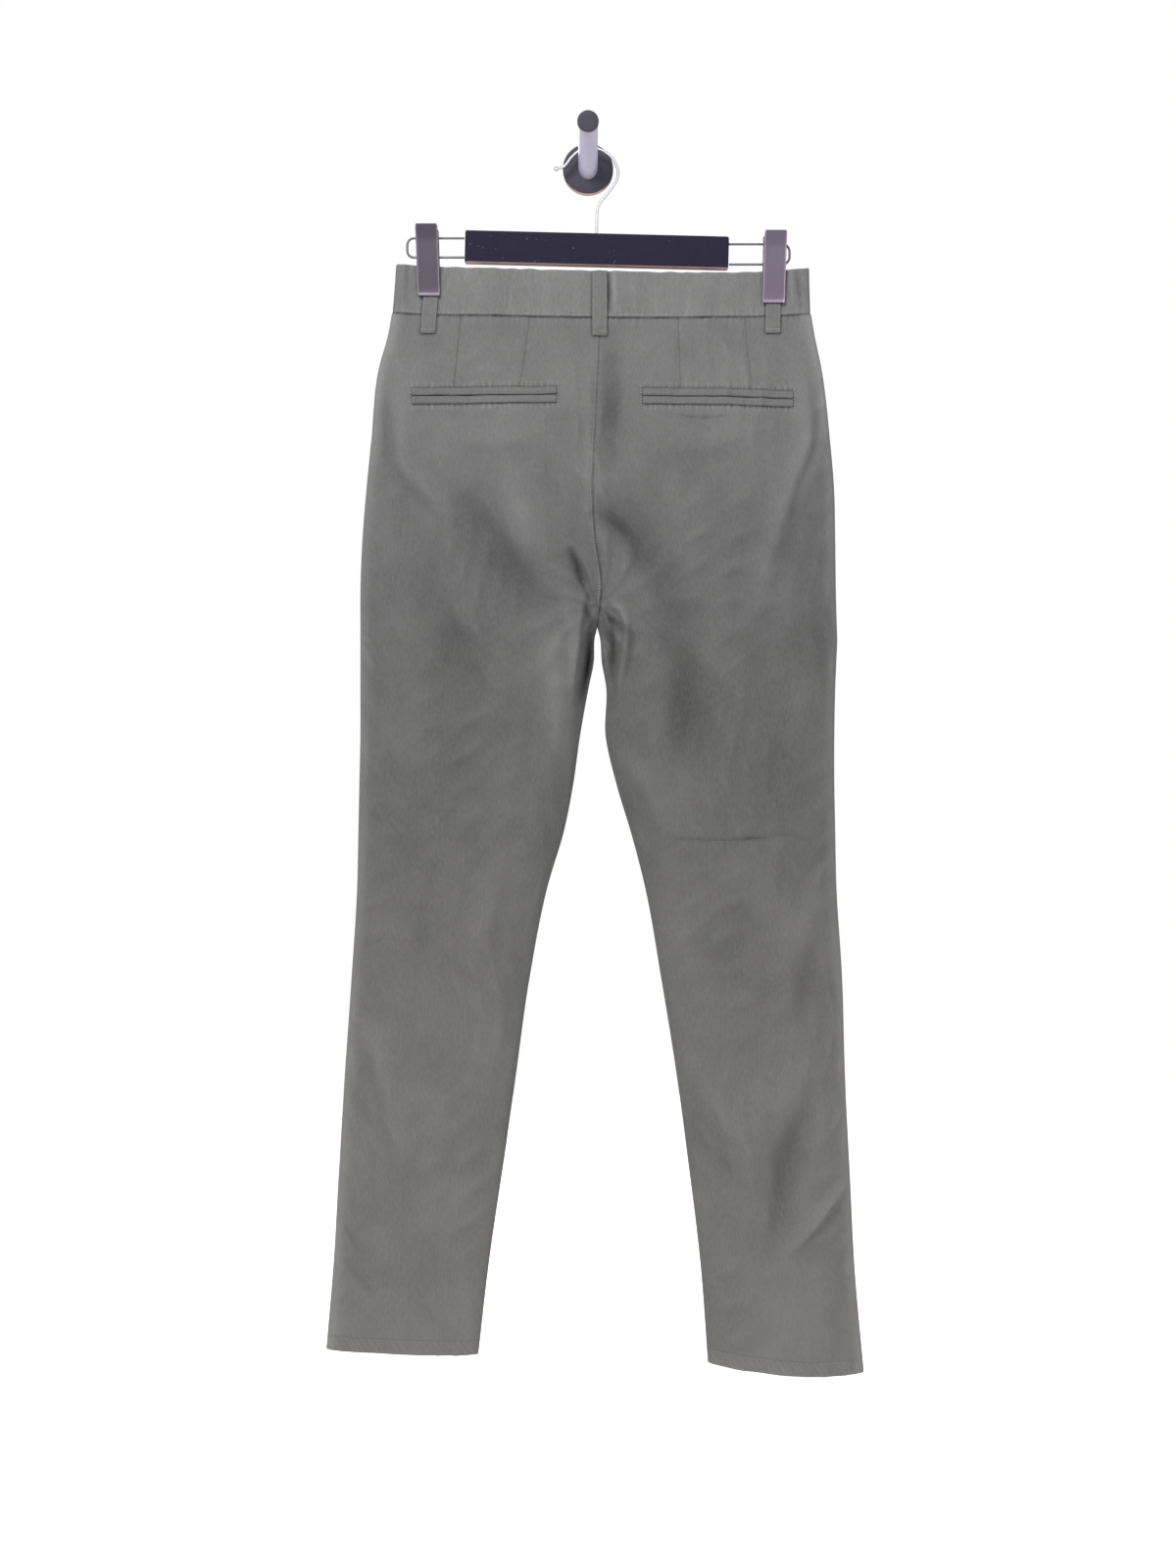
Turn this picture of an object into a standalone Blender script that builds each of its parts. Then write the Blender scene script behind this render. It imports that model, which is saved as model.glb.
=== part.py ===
"""Slim twill trousers clipped in a bar hanger that hangs on a round wall hook.

The trousers are seen from the back, with their front towards the wall. The frame's
origin is the centre of the wall hook's back face: +X is to the right as the back is
seen, +Y goes into the wall and +Z is up. All sizes below are in millimetres, and
MM turns them into metres where a mesh is made.
"""

from collections import namedtuple
from math import cos, pi, radians, sin

import bmesh
import bpy
import numpy as np
from mathutils.bvhtree import BVHTree

MM = 0.001
SEAM_GAP = 0.3
LIFT = 0.4
PATCH_REACH = 1.5
CLEAR_OF_CLOTH = 500.0

# Cloth
CLOTH_WALL = 1.2
HEM_WALL = 2.4
HEM_DEPTH = 14.0
BAND_WALL = 2.0
BAND_PROUD = 0.4
SIDE_RADIUS = 5.0
PINCH = 2.4
LOOP_WALL = 1.6
ROUNDNESS = 2.5
CROTCH_Z = -464.2
CROTCH_BLEND = 150.0
WAIST_BLEND = 140.0
HEM_BLEND = 220.0

# Hanger: its wires, bar and clips lie round one plane that is parallel to the wall
HANGER_Y = -19.0
BAR_SIZE = (264.6, 12.0, 32.5)
BAR_CENTRE = (8.8, HANGER_Y, -85.2)
BAR_LEAN = radians(1.4)
BAR_EDGE = 2.0
RAIL_RADIUS = 1.2
HOOK_RADIUS = 1.3
HOOK_BALL = 2.3
PLATE = 1.2
CLIP_WIDTH = 22.4
SADDLE_WIDTH = 18.0
SADDLE_HALF = 6.0
CROWN_RISE = 3.0

# Wall hook
DISC_RADIUS = 25.5
DISC_DEPTH = 8.0
DISC_RIM = 1.0
POST_RADIUS = 9.7
POST_LENGTH = 70.0
POST_RISE = radians(25.5)
CAP_RADIUS = 10.6
CAP_DEPTH = 2.6
CAP_RIM = 0.8

# Half the depth of the flattened waist, from one side fold to the other
Waist = namedtuple("Waist", "x half_depth")
WAIST = (
    Waist(-192.0, 5.0),
    Waist(-174.0, PINCH),
    Waist(-148.0, PINCH),
    Waist(-95.0, 7.5),
    Waist(12.0, 10.0),
    Waist(115.0, 8.0),
    Waist(174.0, PINCH),
    Waist(199.0, PINCH),
    Waist(218.0, 5.0),
)

# The waistband's top edge and its lower seam
Edge = namedtuple("Edge", "x z")
BAND_TOP = (
    Edge(-193.0, -99.6),
    Edge(-100.0, -104.0),
    Edge(12.0, -107.5),
    Edge(160.0, -107.5),
    Edge(200.0, -105.0),
    Edge(223.0, -103.6),
)
BAND_SEAM = (
    Edge(-197.0, -148.8),
    Edge(-100.0, -151.5),
    Edge(12.0, -154.2),
    Edge(110.0, -153.6),
    Edge(224.0, -149.8),
)
BAND_TOP_SIDES = (-193.0, 222.6)
BAND_SEAM_SIDES = (-197.0, 224.0)
BAND_STATIONS = 17
LEFT_HEM = (Edge(-262.0, -1186.5), Edge(-180.0, -1188.5), Edge(-107.0, -1192.0))
RIGHT_HEM = (
    Edge(119.0, -1200.0),
    Edge(157.0, -1205.0),
    Edge(235.0, -1211.5),
    Edge(277.0, -1209.6),
)

# Seat and hips: side folds, centre seam, plane of the side seams, bulge of back and front
Trunk = namedtuple("Trunk", "z left seam right mid back front")
TRUNK = (
    Trunk(-152.6, -197.0, 12.0, 224.0, -19.0, 12.0, 10.0),
    Trunk(-172.0, -200.5, 11.6, 227.4, -19.1, 17.0, 10.5),
    Trunk(-204.5, -209.7, 10.2, 234.2, -19.5, 24.0, 11.5),
    Trunk(-278.0, -217.6, 6.8, 243.0, -20.5, 32.0, 13.0),
    Trunk(-327.0, -222.5, 4.9, 247.0, -21.0, 34.0, 14.0),
    Trunk(-376.0, -226.4, 7.2, 248.0, -21.5, 34.0, 14.5),
    Trunk(-425.0, -228.3, 13.5, 248.6, -22.0, 32.0, 15.0),
    Trunk(CROTCH_Z, -228.3, 9.3, 249.5, -22.5, 30.0, 15.0),
)

# Legs: outer and inner fold of each, plane of the side seams, bulge of back and front
Leg = namedtuple("Leg", "z left_out left_in right_in right_out mid back front")
LEGS = (
    Leg(CROTCH_Z, -228.3, 9.3, 9.3, 249.5, -22.5, 30.0, 15.0),
    Leg(-474.0, -228.3, 6.9, 11.8, 249.9, -22.5, 29.0, 15.0),
    Leg(-498.5, -228.3, 5.9, 13.7, 249.0, -22.6, 28.0, 15.0),
    Leg(-523.0, -228.3, 1.0, 18.0, 248.0, -22.7, 27.0, 15.0),
    Leg(-572.0, -228.3, -7.8, 17.5, 247.0, -23.0, 25.5, 15.0),
    Leg(-621.0, -229.3, -14.7, 28.4, 247.0, -23.0, 24.5, 14.5),
    Leg(-670.0, -230.3, -24.5, 43.1, 247.9, -23.0, 24.0, 14.5),
    Leg(-719.0, -231.3, -39.2, 55.9, 248.9, -23.0, 23.0, 14.5),
    Leg(-817.0, -237.2, -58.8, 73.5, 254.8, -23.0, 21.5, 14.0),
    Leg(-915.0, -244.0, -72.5, 89.2, 257.7, -23.0, 20.5, 13.5),
    Leg(-1013.0, -249.9, -86.2, 101.9, 262.6, -23.0, 20.0, 13.0),
    Leg(-1111.0, -254.8, -99.0, 112.7, 267.5, -23.0, 19.5, 13.0),
    Leg(-1215.0, -262.4, -109.8, 120.0, 276.5, -23.0, 19.0, 12.5),
)

# Folds: a soft ridge, or a trough where height is negative, from one end to the other.
# bow is how far its middle lies to the left of the straight line when looking down it.
Fold = namedtuple("Fold", "x0 z0 x1 z1 bow width height")
BACK_FOLDS = (
    Fold(-192.0, -180.0, -152.0, -345.0, -8.0, 13.0, 4.0),
    Fold(-122.0, -335.0, -42.0, -452.0, 6.0, 17.0, -6.0),
    Fold(-168.0, -400.0, -105.0, -535.0, -6.0, 14.0, -4.5),
    Fold(-28.0, -455.0, -24.0, -600.0, 0.0, 18.0, 4.0),
    Fold(3.0, -470.0, -2.0, -545.0, 0.0, 6.0, -6.0),
    Fold(-72.0, -685.0, -108.0, -800.0, 6.0, 16.0, 3.0),
    Fold(-228.0, -850.0, -178.0, -1010.0, -8.0, 13.0, 4.0),
    Fold(22.0, -172.0, 21.0, -315.0, 0.0, 10.0, -3.5),
    Fold(6.0, -345.0, 98.0, -470.0, 8.0, 17.0, -6.0),
    Fold(96.0, -450.0, 90.0, -625.0, -4.0, 20.0, -4.0),
    Fold(218.0, -210.0, 172.0, -455.0, 12.0, 14.0, 4.5),
    Fold(25.0, -585.0, 80.0, -680.0, 4.0, 13.0, 3.0),
    Fold(232.0, -700.0, 222.0, -815.0, -5.0, 12.0, 2.5),
    Fold(236.0, -750.0, 214.0, -865.0, -5.0, 13.0, -4.0),
    Fold(234.0, -915.0, 176.0, -1110.0, -9.0, 15.0, -5.5),
    Fold(262.0, -1015.0, 196.0, -1096.0, 2.0, 10.0, 3.0),
    Fold(88.0, -885.0, 166.0, -1020.0, 6.0, 14.0, 3.0),
)
FRONT_FOLDS = (
    Fold(-110.0, -330.0, -30.0, -450.0, 6.0, 16.0, -3.5),
    Fold(120.0, -320.0, 40.0, -452.0, -6.0, 16.0, -3.5),
    Fold(-170.0, -560.0, -90.0, -680.0, 6.0, 18.0, 2.0),
    Fold(190.0, -600.0, 110.0, -700.0, -6.0, 18.0, 2.0),
    Fold(-210.0, -800.0, -130.0, -860.0, 4.0, 14.0, -2.5),
    Fold(225.0, -820.0, 140.0, -870.0, -4.0, 14.0, -2.5),
    Fold(-165.0, -930.0, -180.0, -1120.0, 5.0, 16.0, 2.0),
    Fold(180.0, -940.0, 205.0, -1130.0, -5.0, 16.0, 2.0),
)
FULL_FOLD_DEPTH = 10.0

# Two welts lie on each back panel: its left and right end, and the slit's height there
Welt = namedtuple("Welt", "panel x0 x1 z0 z1")
WELTS = {
    "back_pocket_left": Welt("back_panel_left", -175.5, -31.5, -234.0, -233.4),
    "back_pocket_right": Welt("back_panel_right", 54.5, 204.5, -234.6, -236.4),
}
WELT_HEIGHT = 8.2
WELT_WALL = 1.2

# Belt loops: x of the top and of the lower end, lowest point, side, bulge off the band
Loop = namedtuple("Loop", "x_top x_low z_low facing bulge")
LOOPS = {
    "belt_loop_back_centre": Loop(11.8, 11.8, -172.7, -1, 1.2),
    "belt_loop_back_left": Loop(-155.8, -160.6, -169.0, -1, 0.0),
    "belt_loop_back_right": Loop(186.2, 185.5, -168.6, -1, 0.0),
    "belt_loop_front_left": Loop(-88.0, -88.0, -170.0, 1, 1.2),
    "belt_loop_front_right": Loop(118.0, 118.0, -170.0, 1, 1.2),
}
LOOP_WIDTH = 14.6

# Front closing: the left end of the band laps past the centre, and the fly lies below it
CLOSING_X = 30.0
FLY_WIDTH = 36.0
FLY_LENGTH = 168.0
FLY_CURVE = 52.0
FLY_FOOT = 6.0
FLY_INSET = 1.6
BUTTON_RADIUS = 8.5
BUTTON_DEPTH = 3.0
BUTTON_RIM = 0.7
BUTTON_INSET = 13.0

# Grid of a panel: columns, rows above the crotch and rows below it
Grid = namedtuple("Grid", "columns trunk_rows leg_rows")
BACK_GRID = Grid(20, 15, 21)
FRONT_GRID = Grid(12, 11, 16)
# Columns crowd towards a panel's two edges, and rows towards the crotch
CURVED_SPACING = 0.75
TRUNK_CROWDING = 1.35
LEG_CROWDING = 1.12

# Clips: middle of the plate at its top and foot, and the heights of both
Clip = namedtuple("Clip", "x_top x_foot z_top z_foot")
CLIPS = {
    "clip_left": Clip(-161.7, -159.5, -61.3, -131.8),
    "clip_right": Clip(187.9, 186.0, -67.7, -138.8),
}
# Clip plate from its finger grip to its foot: share of the length, distance off the plane
Bend = namedtuple("Bend", "share off")
JAW_BENDS = (Bend(0.0, 12.0), Bend(0.18, 7.6), Bend(0.5, 6.6), Bend(0.93, 4.8), Bend(1.0, 5.2))
JAW_REACH = {"room": 0.0, "wall": 1.9}

# Rails: end of the bar, outer end of the bend, height of the upper and the lower wire
Rail = namedtuple("Rail", "x_bar x_end z_upper z_lower corner")
RAILS = {
    "rail_left": Rail(-124.2, -181.5, -73.0, -92.3, 6.5),
    "rail_right": Rail(141.6, 202.4, -79.0, -99.3, 7.5),
}

# Hanger hook, from the bar up, over the post and down to its tip
Bead = namedtuple("Bead", "x z")
HOOK = (
    Bead(8.6, -68.6),
    Bead(8.8, -55.0),
    Bead(9.4, -43.9),
    Bead(12.2, -37.2),
    Bead(17.6, -30.6),
    Bead(23.4, -23.0),
    Bead(28.2, -15.8),
    Bead(30.3, -8.0),
    Bead(28.9, -0.6),
    Bead(24.4, 7.4),
    Bead(17.6, 13.6),
    Bead(9.4, 17.3),
    Bead(0.0, 18.2),
    Bead(-9.0, 15.0),
    Bead(-16.4, 8.8),
    Bead(-20.6, 3.2),
    Bead(-24.6, -1.0),
    Bead(-29.6, -2.6),
)


def column(table, name):
    return np.array([getattr(row, name) for row in table])


def smooth(table, key, name, at):
    """A cubic through a table's rows, each row's slope taken from its neighbours."""
    order = np.argsort(column(table, key))
    keys, values = column(table, key)[order], column(table, name)[order]
    slopes = np.gradient(values, keys)
    at = np.clip(at, keys[0], keys[-1])
    low = np.clip(np.searchsorted(keys, at, side="right") - 1, 0, len(keys) - 2)
    span = keys[low + 1] - keys[low]
    t = (at - keys[low]) / span
    start = values[low] * (2 * t**3 - 3 * t**2 + 1) + slopes[low] * span * (t**3 - 2 * t**2 + t)
    end = values[low + 1] * (3 * t**2 - 2 * t**3) + slopes[low + 1] * span * (t**3 - t**2)
    return start + end


def ease(share):
    share = np.clip(share, 0.0, 1.0)
    return share * share * (3.0 - 2.0 * share)


def waist_half_depth(x, from_side):
    """Half the depth of the waist at x, closing round the fold that is from_side away."""
    keys, halves = column(WAIST, "x"), column(WAIST, "half_depth")
    x_in = np.clip(x, keys[0], keys[-1])
    low = np.clip(np.searchsorted(keys, x_in, side="right") - 1, 0, len(keys) - 2)
    share = ease((x_in - keys[low]) / (keys[low + 1] - keys[low]))
    flat = halves[low] + (halves[low + 1] - halves[low]) * share
    inset = np.minimum(1.0, from_side / SIDE_RADIUS)
    return flat * np.sqrt(np.maximum(0.0, 1.0 - (1.0 - inset) ** 2))


def fold_relief(folds, x, z):
    """How far the folds push the cloth out at each x, z."""
    relief = np.zeros_like(x)
    for fold in folds:
        run = np.array([fold.x1 - fold.x0, fold.z1 - fold.z0])
        length = np.hypot(*run)
        along = ((x - fold.x0) * run[0] + (z - fold.z0) * run[1]) / length**2
        aside = ((x - fold.x0) * run[1] - (z - fold.z0) * run[0]) / length
        along = np.clip(along, 0.0, 1.0)
        aside = aside + fold.bow * 4.0 * along * (1.0 - along)
        relief += fold.height * np.sin(pi * along) * np.exp(-((aside / fold.width) ** 2))
    return relief


def trunk_depth(u, z, bulge):
    """Depth of the seat, from 0 at the side fold (u = 0) to full at the centre seam."""
    return smooth(TRUNK, "z", bulge, z) * np.sqrt(1.0 - (1.0 - u) ** ROUNDNESS)


def leg_depth(u, bulge_size):
    """Depth of one leg, 0 at both of its folds."""
    across = np.abs(2.0 * u - 1.0)
    return bulge_size * np.sqrt(np.maximum(0.0, 1.0 - across**ROUNDNESS))


def panel_grid(side, face, grid):
    """Outer points of a panel, a row for each height and a column from side to centre.

    side is "left" or "right", and face is "back" or "front".
    """
    count = grid.columns
    steps = np.arange(count + 1) / count
    u = CURVED_SPACING * (1.0 - np.cos(pi * steps)) / 2.0 + (1.0 - CURVED_SPACING) * steps
    top_z = column(TRUNK, "z").max()
    foot_z = column(LEGS, "z").min()
    up = 1.0 - np.arange(grid.trunk_rows) / grid.trunk_rows
    down = np.arange(grid.leg_rows + 1) / grid.leg_rows
    upper = CROTCH_Z + (top_z - CROTCH_Z) * up**TRUNK_CROWDING
    lower = CROTCH_Z + (foot_z - CROTCH_Z) * down**LEG_CROWDING
    heights = np.concatenate([upper, lower, [foot_z + HEM_DEPTH]])
    heights = np.sort(heights)[::-1]
    z, u = np.meshgrid(heights, u, indexing="ij")
    above = z > CROTCH_Z + 1e-6
    sign = -1.0 if side == "left" else 1.0

    outer_leg = smooth(LEGS, "z", side + "_out", z)
    inner_leg = smooth(LEGS, "z", side + "_in", z)
    outer = np.where(above, smooth(TRUNK, "z", side, z), outer_leg)
    inner = np.where(above, smooth(TRUNK, "z", "seam", z), inner_leg)
    inner = inner + sign * SEAM_GAP / 2.0
    x = outer + (inner - outer) * u

    risen = np.clip((z - CROTCH_Z) / CROTCH_BLEND, 0.0, 1.0)
    whole = ease(risen) + (risen * (2.0 - risen) - ease(risen)) * u**5
    leg_bulge = np.where(above, getattr(TRUNK[-1], face), smooth(LEGS, "z", face, z))
    body = trunk_depth(u, np.maximum(z, CROTCH_Z), face)
    depth = np.sqrt(whole * body**2 + (1.0 - whole) * leg_depth(u, leg_bulge) ** 2)

    waist = waist_half_depth(x, np.abs(x - outer)) * (1.0 - BAND_PROUD / SIDE_RADIUS)
    hung = ease((top_z - z) / WAIST_BLEND)
    depth = waist + (depth - waist) * hung

    folds = BACK_FOLDS if face == "back" else FRONT_FOLDS
    depth = depth + fold_relief(folds, x, z) * np.minimum(1.0, depth / FULL_FOLD_DEPTH)
    middle = np.where(above, smooth(TRUNK, "z", "mid", z), smooth(LEGS, "z", "mid", z))
    out = -1.0 if face == "back" else 1.0
    y = middle + out * (SEAM_GAP / 2.0 + depth)

    seam = smooth(BAND_SEAM, "x", "z", x) - SEAM_GAP / 2.0
    hem = smooth(LEFT_HEM if side == "left" else RIGHT_HEM, "x", "z", x)
    from_top = np.clip((z - CROTCH_Z) / (top_z - CROTCH_Z), 0.0, 1.0) ** 2
    from_hem = np.clip(1.0 - (z - foot_z) / HEM_BLEND, 0.0, 1.0)
    z = z + (seam - top_z) * from_top + (hem - foot_z) * from_hem
    return np.stack([x, y, z], axis=-1), heights


def unit(vectors):
    return vectors / np.linalg.norm(vectors, axis=-1, keepdims=True)


def outward(grid, towards):
    """A unit normal at each point of a grid, on the side that faces towards."""
    normal = unit(np.cross(np.gradient(grid, axis=0), np.gradient(grid, axis=1)))
    return normal if (normal * towards).sum(axis=-1).mean() > 0 else -normal


def panel_inside(points, heights, face):
    """The panel's inner points: the wall's thickness in, and square to each seam."""
    normal = outward(points, np.array([0.0, -1.0 if face == "back" else 1.0, 0.0]))
    crotch = int(np.argmin(np.abs(heights - CROTCH_Z)))
    normal[:, 0, 1] = 0.0
    normal[crotch:, -1, 1] = 0.0
    normal[:crotch, -1, 0] = 0.0
    normal[(0, crotch, -1), :, 2] = 0.0
    normal = unit(normal)
    normal[crotch, -1] = (0.0, 0.0, -1.0)
    turned_up = heights < heights[-1] + HEM_DEPTH + 0.5
    wall = np.where(turned_up, HEM_WALL, CLOTH_WALL)
    return points - normal * wall[:, None, None]


def material(name, colour, roughness, metallic=0.0):
    made = bpy.data.materials.get(name) or bpy.data.materials.new(name)
    made.use_nodes = True
    shader = made.node_tree.nodes["Principled BSDF"]
    shader.inputs["Base Color"].default_value = (*colour, 1.0)
    shader.inputs["Roughness"].default_value = roughness
    shader.inputs["Metallic"].default_value = metallic
    made.diffuse_color = (*colour, 1.0)
    return made


def twill():
    return material("olive_twill", (0.165, 0.172, 0.148), 0.9)


def button_horn():
    return material("dark_button", (0.07, 0.065, 0.055), 0.4)


def bar_black():
    return material("bar_black", (0.03, 0.03, 0.045), 0.45)


def steel():
    return material("clip_steel", (0.34, 0.31, 0.36), 0.32, 1.0)


def bright_wire():
    return material("bright_wire", (0.6, 0.58, 0.6), 0.22, 1.0)


def disc_dark():
    return material("disc_dark", (0.06, 0.055, 0.08), 0.4, 0.6)


def post_satin():
    return material("post_satin", (0.55, 0.52, 0.6), 0.3, 0.9)


def group(name):
    found = bpy.data.objects.get(name)
    if found is None:
        found = bpy.data.objects.new(name, None)
        bpy.context.scene.collection.objects.link(found)
    return found


def add_object(name, points, faces, finish, parent, smooth_angle=None):
    """A closed mesh from points in millimetres, its faces turned outwards."""
    mesh = bpy.data.meshes.new(name)
    mesh.from_pydata((np.asarray(points).reshape(-1, 3) * MM).tolist(), [], faces)
    shape = bmesh.new()
    shape.from_mesh(mesh)
    bmesh.ops.recalc_face_normals(shape, faces=shape.faces)
    if shape.calc_volume(signed=True) < 0:
        bmesh.ops.reverse_faces(shape, faces=shape.faces)
    shape.to_mesh(mesh)
    shape.free()
    mesh.materials.append(finish)
    if smooth_angle is not None:
        mesh.shade_smooth()
        mesh.set_sharp_from_angle(angle=smooth_angle)
    made = bpy.data.objects.new(name, mesh)
    bpy.context.scene.collection.objects.link(made)
    made.parent = group(parent)
    return made


def grid_faces(rows, columns):
    """Triangles of a grid, every square cut along the same diagonal."""
    faces = []
    for row in range(rows - 1):
        for step in range(columns - 1):
            a = row * columns + step
            b = a + columns
            faces.append((a, b, b + 1))
            faces.append((a, b + 1, a + 1))
    return faces


def add_wall(name, outside, inside, finish, parent="trousers"):
    """A closed wall between two grids of points, with a strip round its rim."""
    rows, columns = outside.shape[:2]
    count = rows * columns
    skin = grid_faces(rows, columns)
    faces = skin + [tuple(count + corner for corner in face[::-1]) for face in skin]
    index = np.arange(count).reshape(rows, columns)
    rim = [*index[0, :-1], *index[:-1, -1], *index[-1, :0:-1], *index[:0:-1, 0]]
    for here, after in zip(rim, rim[1:] + rim[:1]):
        faces.append((int(here), int(after), int(after) + count))
        faces.append((int(here), int(after) + count, int(here) + count))
    points = np.concatenate([outside.reshape(-1, 3), inside.reshape(-1, 3)])
    return add_object(name, points, faces, finish, parent, radians(40))


def surface_of(outside):
    """A grid's outer face, for finding the points where other pieces lie on it."""
    rows, columns = outside.shape[:2]
    return BVHTree.FromPolygons(outside.reshape(-1, 3).tolist(), grid_faces(rows, columns))


def cloth_y(surfaces, x, z, facing, reach):
    """The y that stands out most within reach of x, z on these surfaces."""
    found = []
    for dx, dz in ((0, 0), (-reach, 0), (reach, 0), (0, -reach), (0, reach)):
        for surface in surfaces:
            start = (x + dx, CLEAR_OF_CLOTH * facing, z + dz)
            spot = surface.ray_cast(start, (0.0, -float(facing), 0.0))[0]
            if spot is not None:
                found.append(spot.y)
    return facing * max(facing * y for y in found)


def add_patch(name, surfaces, xs, zs, facing, wall, finish, bulge=None):
    """A piece that lies on the cloth, made from the cloth's points moved outwards.

    xs and zs are grids of places on the cloth, and bulge is its extra height by row.
    """
    inside = np.zeros(xs.shape + (3,))
    for place in np.ndindex(xs.shape):
        y = cloth_y(surfaces, xs[place], zs[place], facing, PATCH_REACH)
        extra = 0.0 if bulge is None else bulge[place[0]]
        inside[place] = (xs[place], y + facing * (LIFT + extra), zs[place])
    outside = inside + np.array([0.0, facing * wall, 0.0])
    return add_wall(name, outside, inside, finish)


def panel_parts(points, inside, heights, side):
    """A panel's seat and its leg, which meet at the crotch's height.

    The cloth is one piece. It is two solids so that each bends round one hollow only.
    """
    crotch = int(np.argmin(np.abs(heights - CROTCH_Z)))
    inward = -1.0 if side == "left" else 1.0
    parts = []
    for rows, meeting, up in ((slice(0, crotch + 1), -1, 1.0), (slice(crotch, None), 0, -1.0)):
        outer, inner = points[rows].copy(), inside[rows].copy()
        outer[meeting, :, 2] += up * SEAM_GAP / 2.0
        inner[meeting, :, 2] += up * SEAM_GAP / 2.0
        if up < 0:
            inner[0, -1] = outer[0, -1] + (inward * CLOTH_WALL, 0.0, 0.0)
        parts.append((outer, inner))
    return parts


def build_panels():
    surfaces = {}
    for face, grid in (("back", BACK_GRID), ("front", FRONT_GRID)):
        for side in ("left", "right"):
            name = f"{face}_panel_{side}"
            points, heights = panel_grid(side, face, grid)
            seat, leg = panel_parts(points, panel_inside(points, heights, face), heights, side)
            add_wall(f"{name}_seat", *seat, twill())
            add_wall(f"{name}_leg", *leg, twill())
            surfaces[name] = surface_of(points)
    return surfaces


def band_path(side):
    """One half of the waistband from the centre back, round the side, to the closing.

    It is given at its lower seam, as x and y.
    """
    sign = -1.0 if side == "left" else 1.0
    fold_x = BAND_SEAM_SIDES[0 if side == "left" else 1]
    centre = TRUNK[0].seam + sign * SEAM_GAP / 2.0
    closing = CLOSING_X + (0.0 if side == "left" else SEAM_GAP)
    bend = fold_x - sign * SIDE_RADIUS * (1.0 - np.cos(np.radians((0.0, 30.0, 60.0))))
    bend_end = fold_x - sign * SIDE_RADIUS
    back_run = np.linspace(bend_end, centre, BAND_STATIONS)
    front_run = np.linspace(bend_end, closing, BAND_STATIONS)
    x = np.concatenate([back_run[::-1], bend[::-1], bend[1:], front_run])
    half = waist_half_depth(x, np.abs(x - fold_x))
    facing = np.where(np.arange(len(x)) < len(back_run) + len(bend), -1.0, 1.0)
    return x, HANGER_Y + facing * half


def build_waistband():
    surfaces = {}
    for side, edge in (("left", 0), ("right", 1)):
        x, y = band_path(side)
        middle = TRUNK[0].seam
        pull = (BAND_TOP_SIDES[edge] - middle) / (BAND_SEAM_SIDES[edge] - middle)
        rows = []
        for share in (0.0, 0.5, 1.0):
            width = pull + (1.0 - pull) * share
            row_x = middle + (x - middle) * width
            high = smooth(BAND_TOP, "x", "z", row_x)
            low = smooth(BAND_SEAM, "x", "z", row_x) + SEAM_GAP / 2.0
            rows.append(np.stack([row_x, y, high + (low - high) * share], axis=-1))
        outside = np.array(rows)
        off_plane = (outside - (0.0, HANGER_Y, 0.0)) * (0.0, 1.0, 0.0)
        normal = outward(outside, off_plane)
        normal[..., 2] = 0.0
        normal[:, (0, -1), 0] = 0.0
        normal = unit(normal)
        name = f"waistband_{side}"
        add_wall(name, outside, outside - normal * BAND_WALL, twill())
        surfaces[name] = surface_of(outside)
    return surfaces


def build_welts(panels):
    for name, welt in WELTS.items():
        for part, upward in (("upper", 1.0), ("lower", -1.0)):
            share = np.linspace(0.0, 1.0, 15)
            slit = welt.z0 + (welt.z1 - welt.z0) * share + upward * SEAM_GAP / 2.0
            xs = np.tile(welt.x0 + (welt.x1 - welt.x0) * share, (2, 1))
            zs = np.stack([slit, slit + upward * WELT_HEIGHT])
            add_patch(
                f"{name}_{part}_welt", [panels[welt.panel]], xs, zs, -1, WELT_WALL, twill()
            )


def build_loops(surfaces):
    for name, loop in LOOPS.items():
        top_z = float(smooth(BAND_TOP, "x", "z", np.array(loop.x_top))) - 1.0
        share = np.linspace(0.0, 1.0, 9)
        middle = loop.x_top + (loop.x_low - loop.x_top) * share
        across = np.linspace(-0.5, 0.5, 4) * LOOP_WIDTH
        xs = middle[:, None] + across[None, :]
        zs = np.tile((top_z + (loop.z_low - top_z) * share)[:, None], (1, len(across)))
        bulge = loop.bulge * np.sin(pi * share)
        add_patch(name, surfaces, xs, zs, loop.facing, LOOP_WALL, twill(), bulge)


def build_fly(panels):
    """The fly's edge runs straight down and curves into the centre seam at its foot."""
    share = np.linspace(0.0, 1.0, 13)
    zs = BAND_SEAM[2].z - FLY_INSET - FLY_LENGTH * share
    above_foot = FLY_LENGTH * (1.0 - share)
    curve = np.clip(above_foot / FLY_CURVE, 0.0, 1.0)
    width = FLY_FOOT + (FLY_WIDTH - FLY_FOOT) * np.sqrt(1.0 - (1.0 - curve) ** 2)
    inner = smooth(TRUNK, "z", "seam", zs) - FLY_INSET
    across = np.linspace(0.0, 1.0, 5)
    xs = inner[:, None] - width[:, None] * across[None, :]
    zs = np.tile(zs[:, None], (1, len(across)))
    add_patch("fly", [panels["front_panel_left"]], xs, zs, 1, CLOTH_WALL, twill())


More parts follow.
